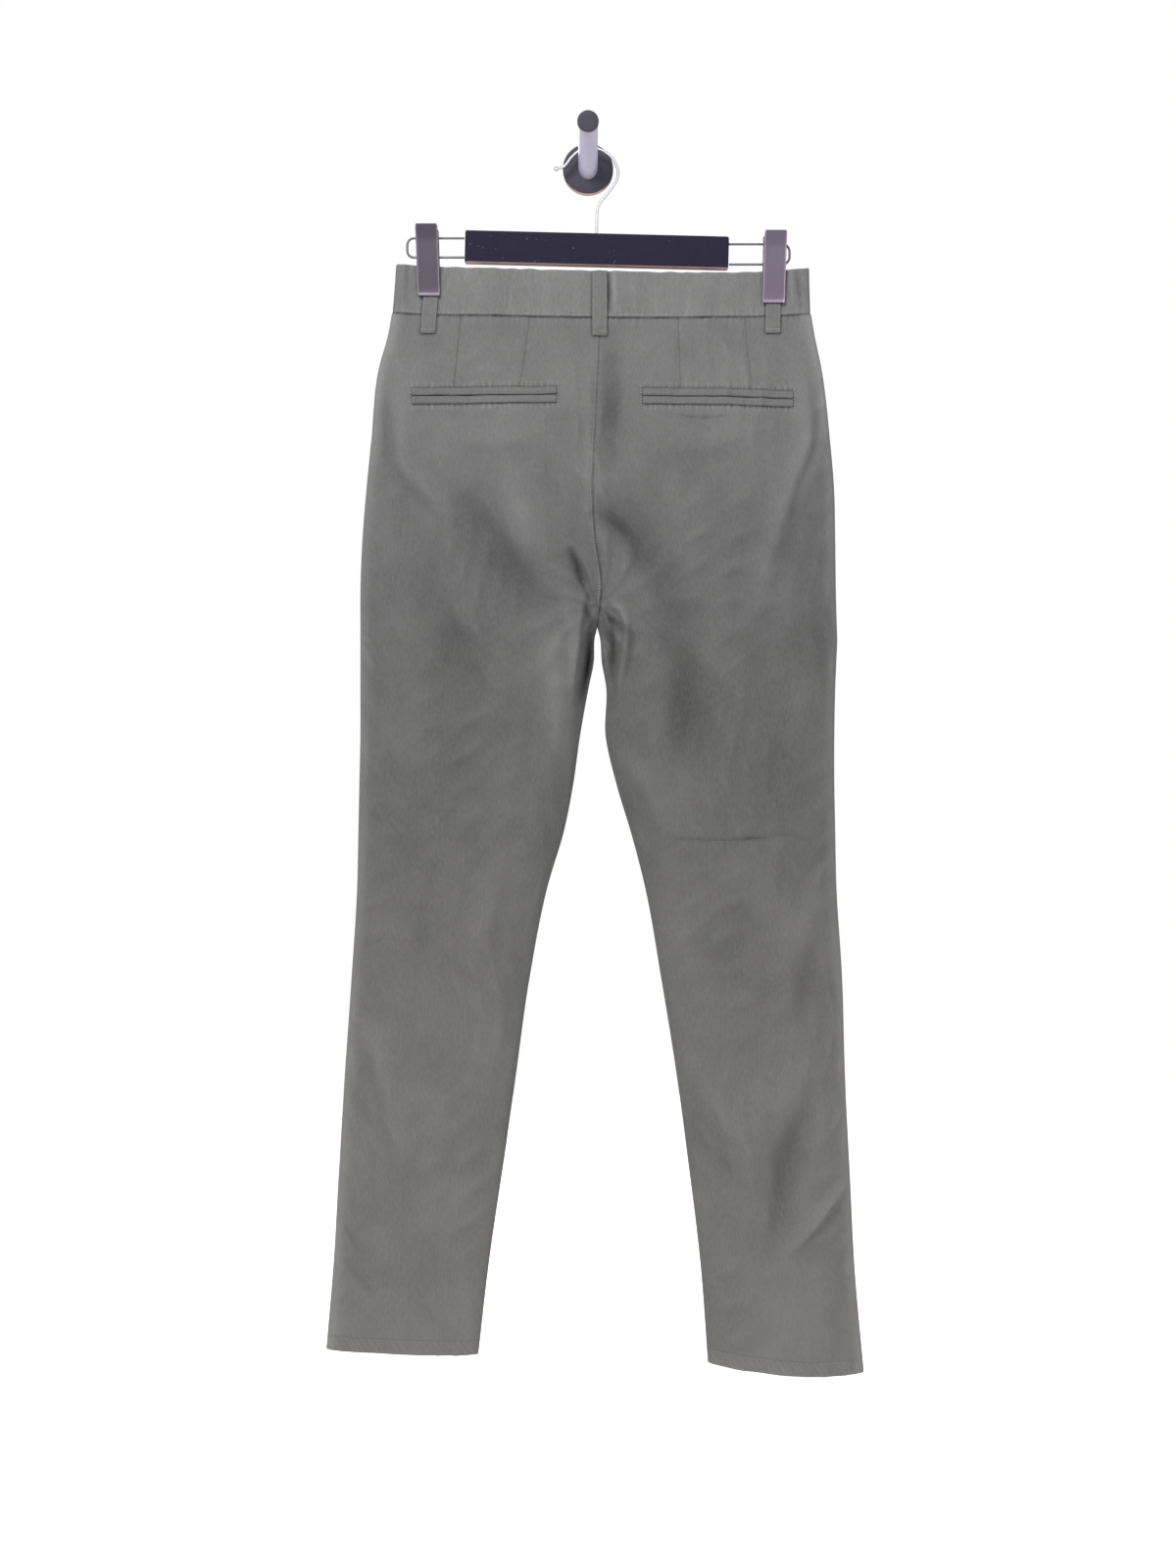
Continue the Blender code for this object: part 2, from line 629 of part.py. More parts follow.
def turned(name, rings, finish, parent, sides=32):
    """A round piece from rings of (centre, radius, axis u, axis v), closed at both ends."""
    points, faces = [], []
    for centre, radius, axis_u, axis_v in rings:
        for step in range(sides):
            angle = 2.0 * pi * step / sides
            offset = np.array(axis_u) * cos(angle) + np.array(axis_v) * sin(angle)
            points.append(np.array(centre) + radius * offset)
    for ring in range(len(rings) - 1):
        for step in range(sides):
            a, b = ring * sides + step, ring * sides + (step + 1) % sides
            faces.append((a, b, b + sides, a + sides))
    faces.append(tuple(range(sides)))
    last = (len(rings) - 1) * sides
    faces.append(tuple(last + step for step in reversed(range(sides))))
    return add_object(name, points, faces, finish, parent, radians(35))


def along_y(centre, stations):
    """Rings round the Y axis for turned(): each station is a y and a radius."""
    x, z = centre
    return [((x, y, z), radius, (1, 0, 0), (0, 0, 1)) for y, radius in stations]


def build_button(surfaces):
    x = CLOSING_X - BUTTON_INSET
    z = (BAND_TOP[2].z + BAND_SEAM[2].z) / 2.0
    face = cloth_y(surfaces, x, z, 1, BUTTON_RADIUS) + LIFT
    stations = (
        (face, BUTTON_RADIUS - BUTTON_RIM),
        (face + BUTTON_RIM, BUTTON_RADIUS),
        (face + BUTTON_DEPTH - BUTTON_RIM, BUTTON_RADIUS),
        (face + BUTTON_DEPTH, BUTTON_RADIUS - BUTTON_RIM),
    )
    turned("waist_button", along_y((x, z), stations), button_horn(), "trousers", 20)


def build_bar():
    bpy.ops.mesh.primitive_cube_add(size=1.0)
    bar = bpy.context.object
    bar.name = bar.data.name = "hanger_bar"
    bar.data.transform(((BAR_SIZE[0] * MM, 0, 0, 0), (0, BAR_SIZE[1] * MM, 0, 0),
                        (0, 0, BAR_SIZE[2] * MM, 0), (0, 0, 0, 1)))
    bar.parent = group("hanger")
    bar.location = [value * MM for value in BAR_CENTRE]
    bar.rotation_euler = (0.0, BAR_LEAN, 0.0)
    bevel = bar.modifiers.new("rounded edges", "BEVEL")
    bevel.width = BAR_EDGE * MM
    bevel.segments = 3
    bar.data.materials.append(bar_black())


def tube(name, route, radii, finish, sides=8):
    """A round wire that follows a route in the hanger's plane."""
    route = np.array(route)
    along = unit(np.gradient(route, axis=0))
    rings = []
    for (x, z), (run_x, run_z), radius in zip(route, along, radii):
        rings.append(((x, HANGER_Y, z), radius, (run_z, 0.0, -run_x), (0.0, 1.0, 0.0)))
    return turned(name, rings, finish, "hanger", sides)


def build_rails():
    for name, rail in RAILS.items():
        sign = -1.0 if rail.x_end < rail.x_bar else 1.0
        route = [(rail.x_bar, rail.z_upper)]
        turn_x = rail.x_end - sign * rail.corner
        corners = ((rail.z_upper - rail.corner, 90.0, 0.0), (rail.z_lower + rail.corner, 0.0, -90.0))
        for turn_z, first, last in corners:
            for angle in np.radians(np.linspace(first, last, 6)):
                across = sign * rail.corner * cos(angle)
                route.append((turn_x + across, turn_z + rail.corner * sin(angle)))
        route.append((rail.x_bar, rail.z_lower))
        tube(name, route, [RAIL_RADIUS] * len(route), bright_wire())


def build_hook():
    """The hook's wire, a smooth curve through its beads, ending in a small ball."""
    beads = np.array([(bead.x, bead.z) for bead in HOOK])
    steps = np.arange(len(beads))
    slopes = np.gradient(beads, axis=0)
    route = []
    for step in steps[:-1]:
        for t in (0.0, 0.5):
            start = beads[step] * (2 * t**3 - 3 * t**2 + 1) + slopes[step] * (t**3 - 2 * t**2 + t)
            end = beads[step + 1] * (3 * t**2 - 2 * t**3) + slopes[step + 1] * (t**3 - t**2)
            route.append(start + end)
    route.append(beads[-1])
    radii = [HOOK_RADIUS] * len(route)
    tip = unit(beads[-1] - beads[-2])
    for angle in np.radians((40.0, 70.0, 100.0, 130.0, 160.0)):
        route.append(beads[-1] + tip * HOOK_BALL * (1.0 - cos(angle)))
        radii.append(HOOK_BALL * sin(angle))
    tube("hanger_hook", route, radii, bright_wire())


def bent_plate(name, line, width, middles, finish):
    """A flat strip of steel bent along a line of (distance off the plane, z)."""
    line = np.array(line)
    run = unit(np.gradient(line, axis=0))
    off = np.stack([run[:, 1], -run[:, 0]], axis=-1) * PLATE / 2.0
    sheets = []
    for edge_line in (line + off, line - off):
        rows = []
        for (y, z), middle in zip(edge_line, middles):
            rows.append([(middle + side * width / 2.0, HANGER_Y + y, z) for side in (-1, 1)])
        sheets.append(np.array(rows))
    return add_wall(name, sheets[0], sheets[1], finish, "hanger")


def build_clips():
    shares = np.array([bend.share for bend in JAW_BENDS])
    offs = np.array([bend.off for bend in JAW_BENDS])
    for name, clip in CLIPS.items():
        heights = clip.z_top + (clip.z_foot - clip.z_top) * shares
        middles = clip.x_top + (clip.x_foot - clip.x_top) * shares
        for jaw, facing in (("room", -1.0), ("wall", 1.0)):
            reach = JAW_REACH[jaw] * np.clip((shares - 0.5) / 0.4, 0.0, 1.0)
            line = np.stack([facing * (offs + PLATE / 2.0 - reach), heights], axis=-1)
            bent_plate(f"{name}_{jaw}_jaw", line, CLIP_WIDTH, middles, steel())
        rail = RAILS[name.replace("clip", "rail")]
        crown = rail.z_upper + RAIL_RADIUS + SEAM_GAP + PLATE / 2.0 - CROWN_RISE
        leg_z = rail.z_lower - 1.0
        half = SADDLE_HALF - PLATE / 2.0
        line = [(-half, leg_z)]
        for angle in np.radians((180.0, 150.0, 120.0, 90.0, 60.0, 30.0, 0.0)):
            line.append((half * cos(angle), crown + CROWN_RISE * sin(angle)))
        line.append((half, leg_z))
        middle = [(clip.x_top + clip.x_foot) / 2.0] * len(line)
        bent_plate(f"{name}_saddle", line, SADDLE_WIDTH, middle, bright_wire())


def build_wall_hook():
    """A disc on the wall, a post that rises out of it and a cap on the post's end."""
    disc = (
        (0.0, DISC_RADIUS),
        (-(DISC_DEPTH - DISC_RIM), DISC_RADIUS),
        (-DISC_DEPTH, DISC_RADIUS - DISC_RIM),
    )
    turned("wall_disc", along_y((0.0, 0.0), disc), disc_dark(), "wall_hook", 48)

    axis = np.array([0.0, -cos(POST_RISE), sin(POST_RISE)])
    up = np.array([0.0, sin(POST_RISE), cos(POST_RISE)])
    base = np.array([0.0, -DISC_DEPTH - SEAM_GAP, 0.0])
    slant = np.array([0.0, 0.0, 1.0 / cos(POST_RISE)])
    far = base + axis * POST_LENGTH
    across = (1.0, 0.0, 0.0)
    post = [(base, POST_RADIUS, across, slant), (far, POST_RADIUS, across, up)]
    turned("wall_post", post, post_satin(), "wall_hook")
    cap = []
    for distance, inset in ((0.0, 0.0), (CAP_DEPTH - CAP_RIM, 0.0), (CAP_DEPTH, CAP_RIM)):
        cap.append((far + axis * (SEAM_GAP + distance), CAP_RADIUS - inset, across, up))
    turned("wall_post_cap", cap, disc_dark(), "wall_hook")


def main():
    for thing in list(bpy.data.objects):
        bpy.data.objects.remove(thing, do_unlink=True)
    panels = build_panels()
    bands = build_waistband()
    build_welts(panels)
    cloth = [*panels.values(), *bands.values()]
    build_loops(cloth)
    build_fly(panels)
    build_button(cloth)
    build_bar()
    build_rails()
    build_hook()
    build_clips()
    build_wall_hook()


main()
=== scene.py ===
"""Looks of slim twill trousers, their clip hanger and the wall hook that it hangs on.

The trousers hang with their back to the viewer. The origin is the centre of the wall
hook's back face: +X is to the right as the back is seen, +Y goes into the wall and +Z
is up. The tables below are in millimetres, and MM turns them into metres.
"""

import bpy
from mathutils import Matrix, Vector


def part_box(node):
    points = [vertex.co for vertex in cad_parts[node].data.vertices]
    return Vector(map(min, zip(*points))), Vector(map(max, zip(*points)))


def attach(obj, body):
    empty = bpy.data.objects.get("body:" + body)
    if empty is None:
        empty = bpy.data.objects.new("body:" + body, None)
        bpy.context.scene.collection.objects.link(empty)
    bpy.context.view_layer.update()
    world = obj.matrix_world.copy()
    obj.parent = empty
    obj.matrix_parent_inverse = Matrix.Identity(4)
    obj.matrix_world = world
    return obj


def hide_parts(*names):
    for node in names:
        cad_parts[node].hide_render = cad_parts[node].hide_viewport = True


bl_info = {
    "name": "Twill trousers on a clip hanger",
    "version": (1, 0, 0),
    "blender": (4, 5, 0),
    "location": "3D View > Sidebar > Trousers",
    "description": "Makes the cloth, sewing, hanger and wall hook round a fixed frame",
    "category": "Add Mesh",
}

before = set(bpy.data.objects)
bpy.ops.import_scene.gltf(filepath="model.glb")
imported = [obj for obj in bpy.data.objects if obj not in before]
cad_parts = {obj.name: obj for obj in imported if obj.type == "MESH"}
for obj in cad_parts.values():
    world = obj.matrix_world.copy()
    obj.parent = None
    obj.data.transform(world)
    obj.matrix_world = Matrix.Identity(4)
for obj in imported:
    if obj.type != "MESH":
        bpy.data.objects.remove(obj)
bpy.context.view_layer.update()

from collections import namedtuple
from math import cos, pi, radians, sin

import bmesh
import bpy
import numpy as np
from bpy.types import Operator, PropertyGroup
from mathutils import Vector
from mathutils.bvhtree import BVHTree

MM = 0.001
BODY = "root"
# Between hard pieces and at the closing, and between pieces of cloth that are sewn together
SEAM_GAP = 0.3
CLOTH_GAP = 0.02
SEED = 7


def listed(kind, *values):
    """A table whose rows all have the same columns."""
    return tuple(kind(*row) for row in values)


# ---------------------------------------------------------------- form of the trousers

BAND_PROUD = 0.4
SIDE_RADIUS = 5.0
PINCH = 2.4
ROUNDNESS = 2.5
CROTCH_Z = -464.2
CROTCH_BLEND = 150.0
WAIST_BLEND = 140.0
HEM_BLEND = 220.0
HANGER_Y = -19.0
FULL_FOLD_DEPTH = 10.0

# Half the depth of the flattened waist, from one side fold to the other
Waist = namedtuple("Waist", "x half_depth")
WAIST = listed(Waist,
    (-192, 5), (-174, PINCH), (-148, PINCH), (-95, 7.5), (12, 10), (115, 8), (174, PINCH),
    (199, PINCH), (218, 5),
)

# The waistband's top edge and its lower seam
Edge = namedtuple("Edge", "x z")
BAND_TOP = listed(Edge,
    (-193, -99.6), (-100, -104), (12, -107.5), (160, -107.5), (200, -105), (223, -103.6),
)
BAND_SEAM = listed(Edge, (-197, -148.8), (-100, -151.5), (12, -154.2), (110, -153.6), (224, -149.8))
BAND_TOP_SIDES = (-193.0, 222.6)
BAND_SEAM_SIDES = (-197.0, 224.0)
LEFT_HEM = listed(Edge, (-262, -1186.5), (-180, -1188.5), (-107, -1192))
RIGHT_HEM = listed(Edge, (119, -1200), (157, -1205), (235, -1211.5), (277, -1209.6))

# Seat and hips: side folds, centre seam, plane of the side seams, bulge of back and front
Trunk = namedtuple("Trunk", "z left seam right mid back front")
TRUNK = listed(Trunk,
    (-152.6, -197, 12, 224, -19, 12, 10),
    (-172, -200.5, 11.6, 227.4, -19.1, 17, 10.5),
    (-204.5, -209.7, 10.2, 234.2, -19.5, 24, 11.5),
    (-278, -217.6, 6.8, 243, -20.5, 32, 13),
    (-327, -222.5, 4.9, 247, -21, 34, 14),
    (-376, -226.4, 7.2, 248, -21.5, 34, 14.5),
    (-425, -228.3, 13.5, 248.6, -22, 32, 15),
    (CROTCH_Z, -228.3, 9.3, 249.5, -22.5, 30, 15),
)

# Legs: outer and inner fold of each, plane of the side seams, bulge of back and front
Leg = namedtuple("Leg", "z left_out left_in right_in right_out mid back front")
LEGS = listed(Leg,
    (CROTCH_Z, -228.3, 9.3, 9.3, 249.5, -22.5, 30, 15),
    (-474, -228.3, 6.9, 11.8, 249.9, -22.5, 29, 15),
    (-498.5, -228.3, 5.9, 13.7, 249, -22.6, 28, 15),
    (-523, -228.3, 1, 18, 248, -22.7, 27, 15),
    (-572, -228.3, -7.8, 17.5, 247, -23, 25.5, 15),
    (-621, -229.3, -14.7, 28.4, 247, -23, 24.5, 14.5),
    (-670, -230.3, -24.5, 43.1, 247.9, -23, 24, 14.5),
    (-719, -231.3, -39.2, 55.9, 248.9, -23, 23, 14.5),
    (-817, -237.2, -58.8, 73.5, 254.8, -23, 21.5, 14),
    (-915, -244, -72.5, 89.2, 257.7, -23, 20.5, 13.5),
    (-1013, -249.9, -86.2, 101.9, 262.6, -23, 20, 13),
    (-1111, -254.8, -99, 112.7, 267.5, -23, 19.5, 13),
    (-1215, -262.4, -109.8, 120, 276.5, -23, 19, 12.5),
)

# Creases: a soft ridge, or a trough where height is negative, along a route of (x, z)
# places. left is the width on the left of one that runs down, or below one that runs to
# the right, and right is the width on its other side.
Crease = namedtuple("Crease", "route left right height")
BACK_FOLDS = listed(Crease,
    # left hip and seat
    (((-193, -176), (-190, -262), (-184, -305), (-152, -342), (-136, -372)), 9, 15, 7.1),
    (((-206, -192), (-208, -250), (-204, -310)), 5, 6, -3.7),
    (((-124, -330), (-90, -386), (-56, -432), (-44, -462)), 22, 15, -8.6),
    (((-172, -392), (-140, -462), (-122, -505), (-100, -548)), 20, 14, -6.2),
    (((-84, -298), (-70, -350), (-50, -402)), 20, 18, 4.1),
    (((-28, -452), (-30, -520), (-24, -604)), 15, 16, 6.8),
    (((-14, -196), (-13, -245), (-14, -290)), 5, 5, 1.9),
    (((2, -236), (1, -300), (0, -360)), 5, 4, 2),
    # left leg
    (((-72, -684), (-97, -734), (-108, -800)), 15, 16, 5.1),
    (((-228, -850), (-213, -880), (-202, -920), (-192, -962), (-176, -1010)), 12, 13, 6.8),
    # right hip and seat
    (((22, -170), (24, -240), (20, -318)), 9, 10, -6.1),
    (((3, -350), (33, -366), (57, -398), (98, -468)), 12, 20, -9.4),
    (((84, -440), (98, -530), (90, -630)), 14, 26, -6.4),
    (((214, -200), (220, -265), (213, -308), (191, -360), (178, -404), (169, -462)), 15, 11, 7.8),
    (((231, -222), (227, -283), (210, -328), (203, -362)), 6, 6, -4.4),
    # right leg
    (((24, -586), (59, -627), (78, -682)), 12, 13, 5.1),
    (((238, -698), (230, -720), (225, -760), (222, -815)), 11, 12, 4.2),
    (((236, -750), (222, -807), (211, -868)), 12, 13, -6.8),
    (((234, -910), (219, -948), (204, -984), (196, -1020), (191, -1056), (174, -1106)), 15, 13, -9.3),
    (((263, -1014), (242, -1040), (223, -1065), (192, -1094)), 9, 6, 5.1),
    (((86, -884), (117, -918), (141, -968), (167, -1018)), 13, 14, 5.1),
)
BACK_CREASES = listed(Crease,
    # drag lines from the left loop and pocket
    (((-184, -190), (-162, -176), (-138, -168)), 3, 4, 1.2),
    (((-170, -252), (-120, -258), (-60, -254)), 3, 6, -1.4),
    # inner left thigh
    (((-48, -566), (-40, -588), (-24, -611)), 3.5, 3.5, -1.4),
    (((-200, -633), (-186, -652), (-169, -676)), 2.6, 2.6, 0.8),
    (((-228, -471), (-214, -477)), 2.2, 2.6, -1.4),
    (((-228, -481), (-216, -488)), 2.2, 2.6, -1),
    (((-239, -863), (-222, -866)), 2.6, 2.6, -1.4),
    (((-80, -879), (-68, -881)), 2.2, 2.4, -1.2),
    (((-252, -1057), (-240, -1072), (-228, -1092)), 4, 4, -1.8),
    (((-252, -1093), (-232, -1112), (-210, -1142)), 4, 5, -2.1),
    # crotch: the thighs' fold edges, the recess behind each and the tucks between
    (((0, -422), (-6, -451), (-10, -485), (-13, -514), (-15, -560)), 6, 3.2, 5.1),
    (((4, -470), (1, -500), (-4, -540)), 4, 4.5, -6.8),
    (((-17, -386), (-9, -411), (3, -440)), 5.2, 4.4, -4.4),
    (((19, -440), (34, -454), (37, -471), (31, -514), (27, -550)), 3.2, 6, 5.1),
    (((17, -468), (24, -492), (24, -530)), 4, 3.5, -5.4),
    (((18, -456), (27, -462), (36, -474)), 2.4, 3, -3.6),
    (((8, -430), (14, -446), (24, -458)), 2.6, 2.6, 2.1),
    # right seat and thigh
    (((74, -253), (112, -258), (150, -255)), 3, 1.8, -2.2),
    (((56, -292), (129, -285), (204, -255)), 2.2, 2.4, 0.9),
    (((165, -175), (189, -192), (204, -212)), 4.5, 5, -2.2),
    (((125, -346), (157, -384)), 2.2, 2.4, -1),
    (((106, -553), (134, -535)), 2.2, 2.6, 0.9),
    (((125, -521), (173, -480)), 2.6, 3, 0.9),
    (((38, -531), (58, -538)), 2.2, 2.4, -1.2),
    (((77, -675), (132, -678), (198, -673), (238, -679)), 2.4, 1.7, -2),
    (((246, -700), (233, -706), (228, -726)), 3, 3.5, 2.1),
    # right calf
    (((262, -1017), (242, -1040), (223, -1065), (194, -1092)), 5, 2.6, 2.2),
    (((256, -946), (241, -969)), 3.5, 4, 1.8),
    (((115, -1111), (130, -1126), (147, -1154)), 4, 4, 1.5),
)
FRONT_FOLDS = listed(Crease,
    (((-110, -330), (-74, -384), (-30, -450)), 15, 16, -5.2),
    (((120, -320), (84, -380), (40, -452)), 16, 15, -5.2),
    (((-170, -560), (-124, -612), (-90, -680)), 18, 18, 3),
    (((190, -600), (144, -642), (110, -700)), 18, 18, 3),
    (((-210, -800), (-166, -824), (-130, -860)), 14, 14, -3.8),
    (((225, -820), (178, -840), (140, -870)), 14, 14, -3.8),
    (((-165, -930), (-178, -1020), (-180, -1120)), 16, 16, 3),
    (((180, -940), (198, -1030), (205, -1130)), 16, 16, 3),
)
FRONT_CREASES = listed(Crease,
    (((-40, -380), (-18, -420), (0, -455)), 3, 4, -1.8),
    (((62, -372), (38, -418), (20, -456)), 4, 3, -1.8),
    (((-96, -420), (-52, -446), (-14, -458)), 3, 4, -1.4),
    (((118, -412), (74, -444), (34, -460)), 4, 3, -1.4),
    (((-206, -668), (-160, -676), (-100, -668)), 2.4, 3, -1.4),
    (((96, -690), (160, -684), (226, -694)), 2.4, 3, -1.4),
    (((-190, -880), (-150, -896), (-118, -900)), 3, 3, 1.2),
    (((236, -900), (190, -920), (150, -924)), 3, 3, 1.2),
    (((-236, -1090), (-200, -1120), (-170, -1140)), 4, 4, -1.5),
    (((150, -1120), (190, -1140), (220, -1166)), 4, 4, -1.5),
)

# Painted light and shade at each height: how much lighter or darker the cloth is made there
Tone = namedtuple("Tone", "z tone")
PAINTED_LIGHT_BY_HEIGHT = listed(Tone,
    (-152, 0.18), (-250, 0.1), (-360, 0), (-480, -0.07), (-620, -0.07), (-760, 0.05), (-900, 0.14),
    (-1060, 0.2), (-1220, 0.36),
)
# Wear and painted highlights make the cloth lighter, painted shade makes it darker
WEAR_AND_HIGHLIGHT_LIGHTER = 0.42
SHADE_DARKER = 0.5
# Painted shading from the folds' relief: darker in troughs, lighter on ridges
FOLD_PAINTED_SHADING = 0.025
FOLD_PAINTED_SHADING_LIMITS = (-0.34, 0.2)
# Painted rim light along the side folds, and how far in it reaches
SIDE_PAINTED_RIM_LIGHT = 0.6
SIDE_RIM_LIGHT_WIDTH = 9.0

# Painted shade and painted light where the folds alone shade too faintly: height is a tone here
BACK_PAINTED_SHADE_AND_LIGHT = listed(Crease,
    # the recess behind the left thigh's fold, and the notch above it
    (((4, -464), (2, -486), (-3, -516), (-8, -544)), 4.5, 5, -0.75),
    (((-19, -384), (-12, -402), (-7, -418), (2, -440)), 3.6, 3, -0.45),
    (((-6, -440), (0, -452), (4, -466)), 3, 3, -0.5),
    (((-24, -404), (-21, -440), (-18, -480), (-20, -530)), 7, 6, 0.2),
    # the tucks on the right of the crotch
    (((13, -444), (22, -458), (25, -486), (22, -520)), 2.6, 3.4, -0.45),
    (((20, -436), (34, -450), (40, -476)), 2, 3, 0.3),
    (((34, -452), (42, -480), (36, -520)), 3, 4, -0.3),
    (((6, -352), (30, -364), (52, -392)), 6, 7, -0.28),
    (((48, -388), (70, -440), (90, -530), (88, -610)), 14, 26, -0.12),
    (((77, -674), (132, -677), (190, -673)), 1.3, 1.1, -0.3),
    # left seat and thigh
    (((-130, -330), (-92, -392), (-54, -446)), 24, 16, -0.07),
    (((-86, -310), (-66, -352), (-44, -392)), 13, 12, 0.13),
    (((-34, -470), (-34, -540), (-28, -600)), 11, 12, 0.1),
    # above and below the pockets
    (((-129, -214), (-103, -206), (-70, -214)), 4, 4, 0.07),
    (((-129, -220), (-103, -212), (-70, -220)), 4, 3, -0.06),
    (((-150, -268), (-90, -276), (-40, -266)), 8, 9, 0.08),
    (((-128, -292), (-80, -286), (-42, -298)), 8, 9, -0.07),
    (((70, -268), (120, -276), (180, -262)), 8, 8, 0.07),
    (((60, -300), (120, -296), (176, -286)), 8, 8, -0.06),
    # beside the centre seam
    (((23, -176), (25, -250), (22, -330)), 6, 7, -0.16),
    (((0, -200), (-1, -300), (-2, -372)), 4, 3, 0.1),
    # right hip, knee and calf
    (((216, -204), (220, -268), (208, -320), (184, -392)), 9, 8, 0.14),
    (((60, -700), (92, -760), (112, -840)), 14, 16, 0.08),
    (((120, -690), (170, -720), (200, -790)), 18, 18, 0.07),
    (((196, -960), (190, -1030), (176, -1110)), 13, 12, -0.1),
)

# Two welts lie on each back panel: its left and right end, and the slit's height there
Welt = namedtuple("Welt", "panel x0 x1 z0 z1")
WELTS = {
    "back_pocket_left": Welt("cloth_back_left", -175.5, -31.5, -234.0, -233.4),
    "back_pocket_right": Welt("cloth_back_right", 54.5, 204.5, -234.6, -236.4),
}
WELT_HEIGHT = 8.2
MOUTH_STITCH_OFF = 2.4

# Waist darts: a line of stitching from the band's seam down to the pocket
Dart = namedtuple("Dart", "panel x_top x_low z_top z_low")
DARTS = listed(Dart,
    ("cloth_back_left", -129, -135.4, -154.5, -222.4),
    ("cloth_back_left", -60, -69.2, -155.5, -223),
    ("cloth_back_right", 89, 91, -155.5, -226.2),
    ("cloth_back_right", 155.8, 161.6, -154, -226.4),
)

# Belt loops: x of the top and of the lower end, lowest point, side, bulge off the band
Loop = namedtuple("Loop", "x_top x_low z_low facing bulge")
LOOPS = {
    "belt_loop_back_centre": Loop(11.8, 11.8, -172.7, -1, 1.2),
    "belt_loop_back_left": Loop(-155.8, -160.6, -169.0, -1, 0.0),
    "belt_loop_back_right": Loop(186.2, 185.5, -168.6, -1, 0.0),
    "belt_loop_front_left": Loop(-88.0, -88.0, -170.0, 1, 1.2),
    "belt_loop_front_right": Loop(118.0, 118.0, -170.0, 1, 1.2),
}
LOOP_WIDTH = 14.6

# Creases across the band: x, share of its height where each starts and ends, lean, width
# and height
BandCrease = namedtuple("BandCrease", "x top low lean width height")
BAND_CREASES = listed(BandCrease,
    (27, -0.2, 0.95, 2, 3.2, 1.6),
    (20.5, 0, 0.9, 0, 2.2, -1.2),
    (-76, 0.45, 1.15, -3, 2.2, 0.6),
    (-112, 0.2, 1.1, 2, 4, 0.35),
    (-42, 0, 1.1, -2, 5, 0.4),
    (-10, 0.1, 1.1, 1, 3, 0.5),
    (46, 0.1, 1.1, 3, 3.4, 0.5),
    (70, 0.3, 1.2, -4, 3, 0.5),
    (102, 0.25, 1.2, -3, 2.2, 0.7),
    (134, 0, 1, 2, 5, 0.35),
    (204, -0.2, 0.8, 4, 2.6, 0.9),
    (211, -0.2, 0.9, 5, 2.2, -0.8),
    (-182, -0.2, 0.9, -3, 2.4, -0.5),
)

# Front closing
CLOSING_X = 30.0
FLY_WIDTH = 36.0
FLY_LENGTH = 168.0
FLY_CURVE = 52.0
FLY_FOOT = 6.0
FLY_INSET = 1.6
FLY_STITCH_INSETS = (3.0, 9.0)
BUTTON_RADIUS = 8.5

# ------------------------------------------------------------- form of hanger and hook

CLIP_WIDTH = 22.4
SADDLE_WIDTH = 18.0
SADDLE_HALF = 6.0
CROWN_RISE = 3.0
RAIL_RADIUS = 1.2
# The rails are a painted shaded copy of the bright wire
RAIL_PAINTED_SHADE = 0.2
# Painted dark reflection along the edges of the bright wire
WIRE_PAINTED_EDGE = 0.1
HOOK_RADIUS = 1.3
HOOK_BALL = 2.3

# Clips: middle of the plate at its top and foot, the heights of both, and the painted tone of its
# plates: shade on the left clip, a little light on the right
Clip = namedtuple("Clip", "x_top x_foot z_top z_foot tone")
CLIPS = {
    "clip_left": Clip(-161.7, -159.5, -61.3, -131.8, -0.36),
    "clip_right": Clip(187.9, 186.0, -67.7, -138.8, 0.06),
}
# Clip plate from its finger grip to its foot: share of the length, distance off the plane
Bend = namedtuple("Bend", "share off")
JAW_BENDS = listed(Bend,
    (0, 12),
    (0.18, 7.6),
    (0.5, 6.6),
    (0.93, 4.8),
    (1, 5.2),
)
JAW_REACH = {"room": 0.0, "wall": 1.9}
# Painted highlight on the clips' rolled edges and foot
CLIP_PAINTED_EDGE_HIGHLIGHT = 2.2

# Rails: end of the bar, outer end of the bend, height of the upper and the lower wire
Rail = namedtuple("Rail", "x_bar x_end z_upper z_lower corner")
RAILS = {
    "rail_left": Rail(-124.2, -181.5, -73.0, -92.3, 6.5),
    "rail_right": Rail(141.6, 202.4, -79.0, -99.3, 7.5),
}

# Hanger hook, from the bar up, over the post and down to its tip
Bead = namedtuple("Bead", "x z")
HOOK = listed(Bead,
    (8.6, -68.6), (8.8, -55), (9.4, -43.9), (12.2, -37.2), (17.6, -30.6), (23.4, -23),
    (28.2, -15.8), (30.3, -8), (28.9, -0.6), (24.4, 7.4), (17.6, 13.6), (9.4, 17.3), (0, 18.2),
    (-9, 15), (-16.4, 8.8), (-20.6, 3.2), (-24.6, -1), (-29.6, -2.6),
)
DISC_RADIUS = 25.5
DISC_DEPTH = 8.0
POST_RADIUS = 9.7
POST_LENGTH = 67.0
POST_RISE = radians(25.5)
CAP_RADIUS = 10.6
CAP_DEPTH = 2.6
CAP_STRETCH = 1.05


# ------------------------------------------------------------------------- settings


def colour_setting(name, description, default):
    return bpy.props.FloatVectorProperty(
        name=name, description=description, default=default,
        subtype="COLOR", size=3, min=0.0, max=1.0,
    )


def length_setting(name, description, default, low, high):
    return bpy.props.FloatProperty(
        name=name, description=description, default=default, min=low, max=high,
        subtype="DISTANCE", unit="LENGTH",
    )


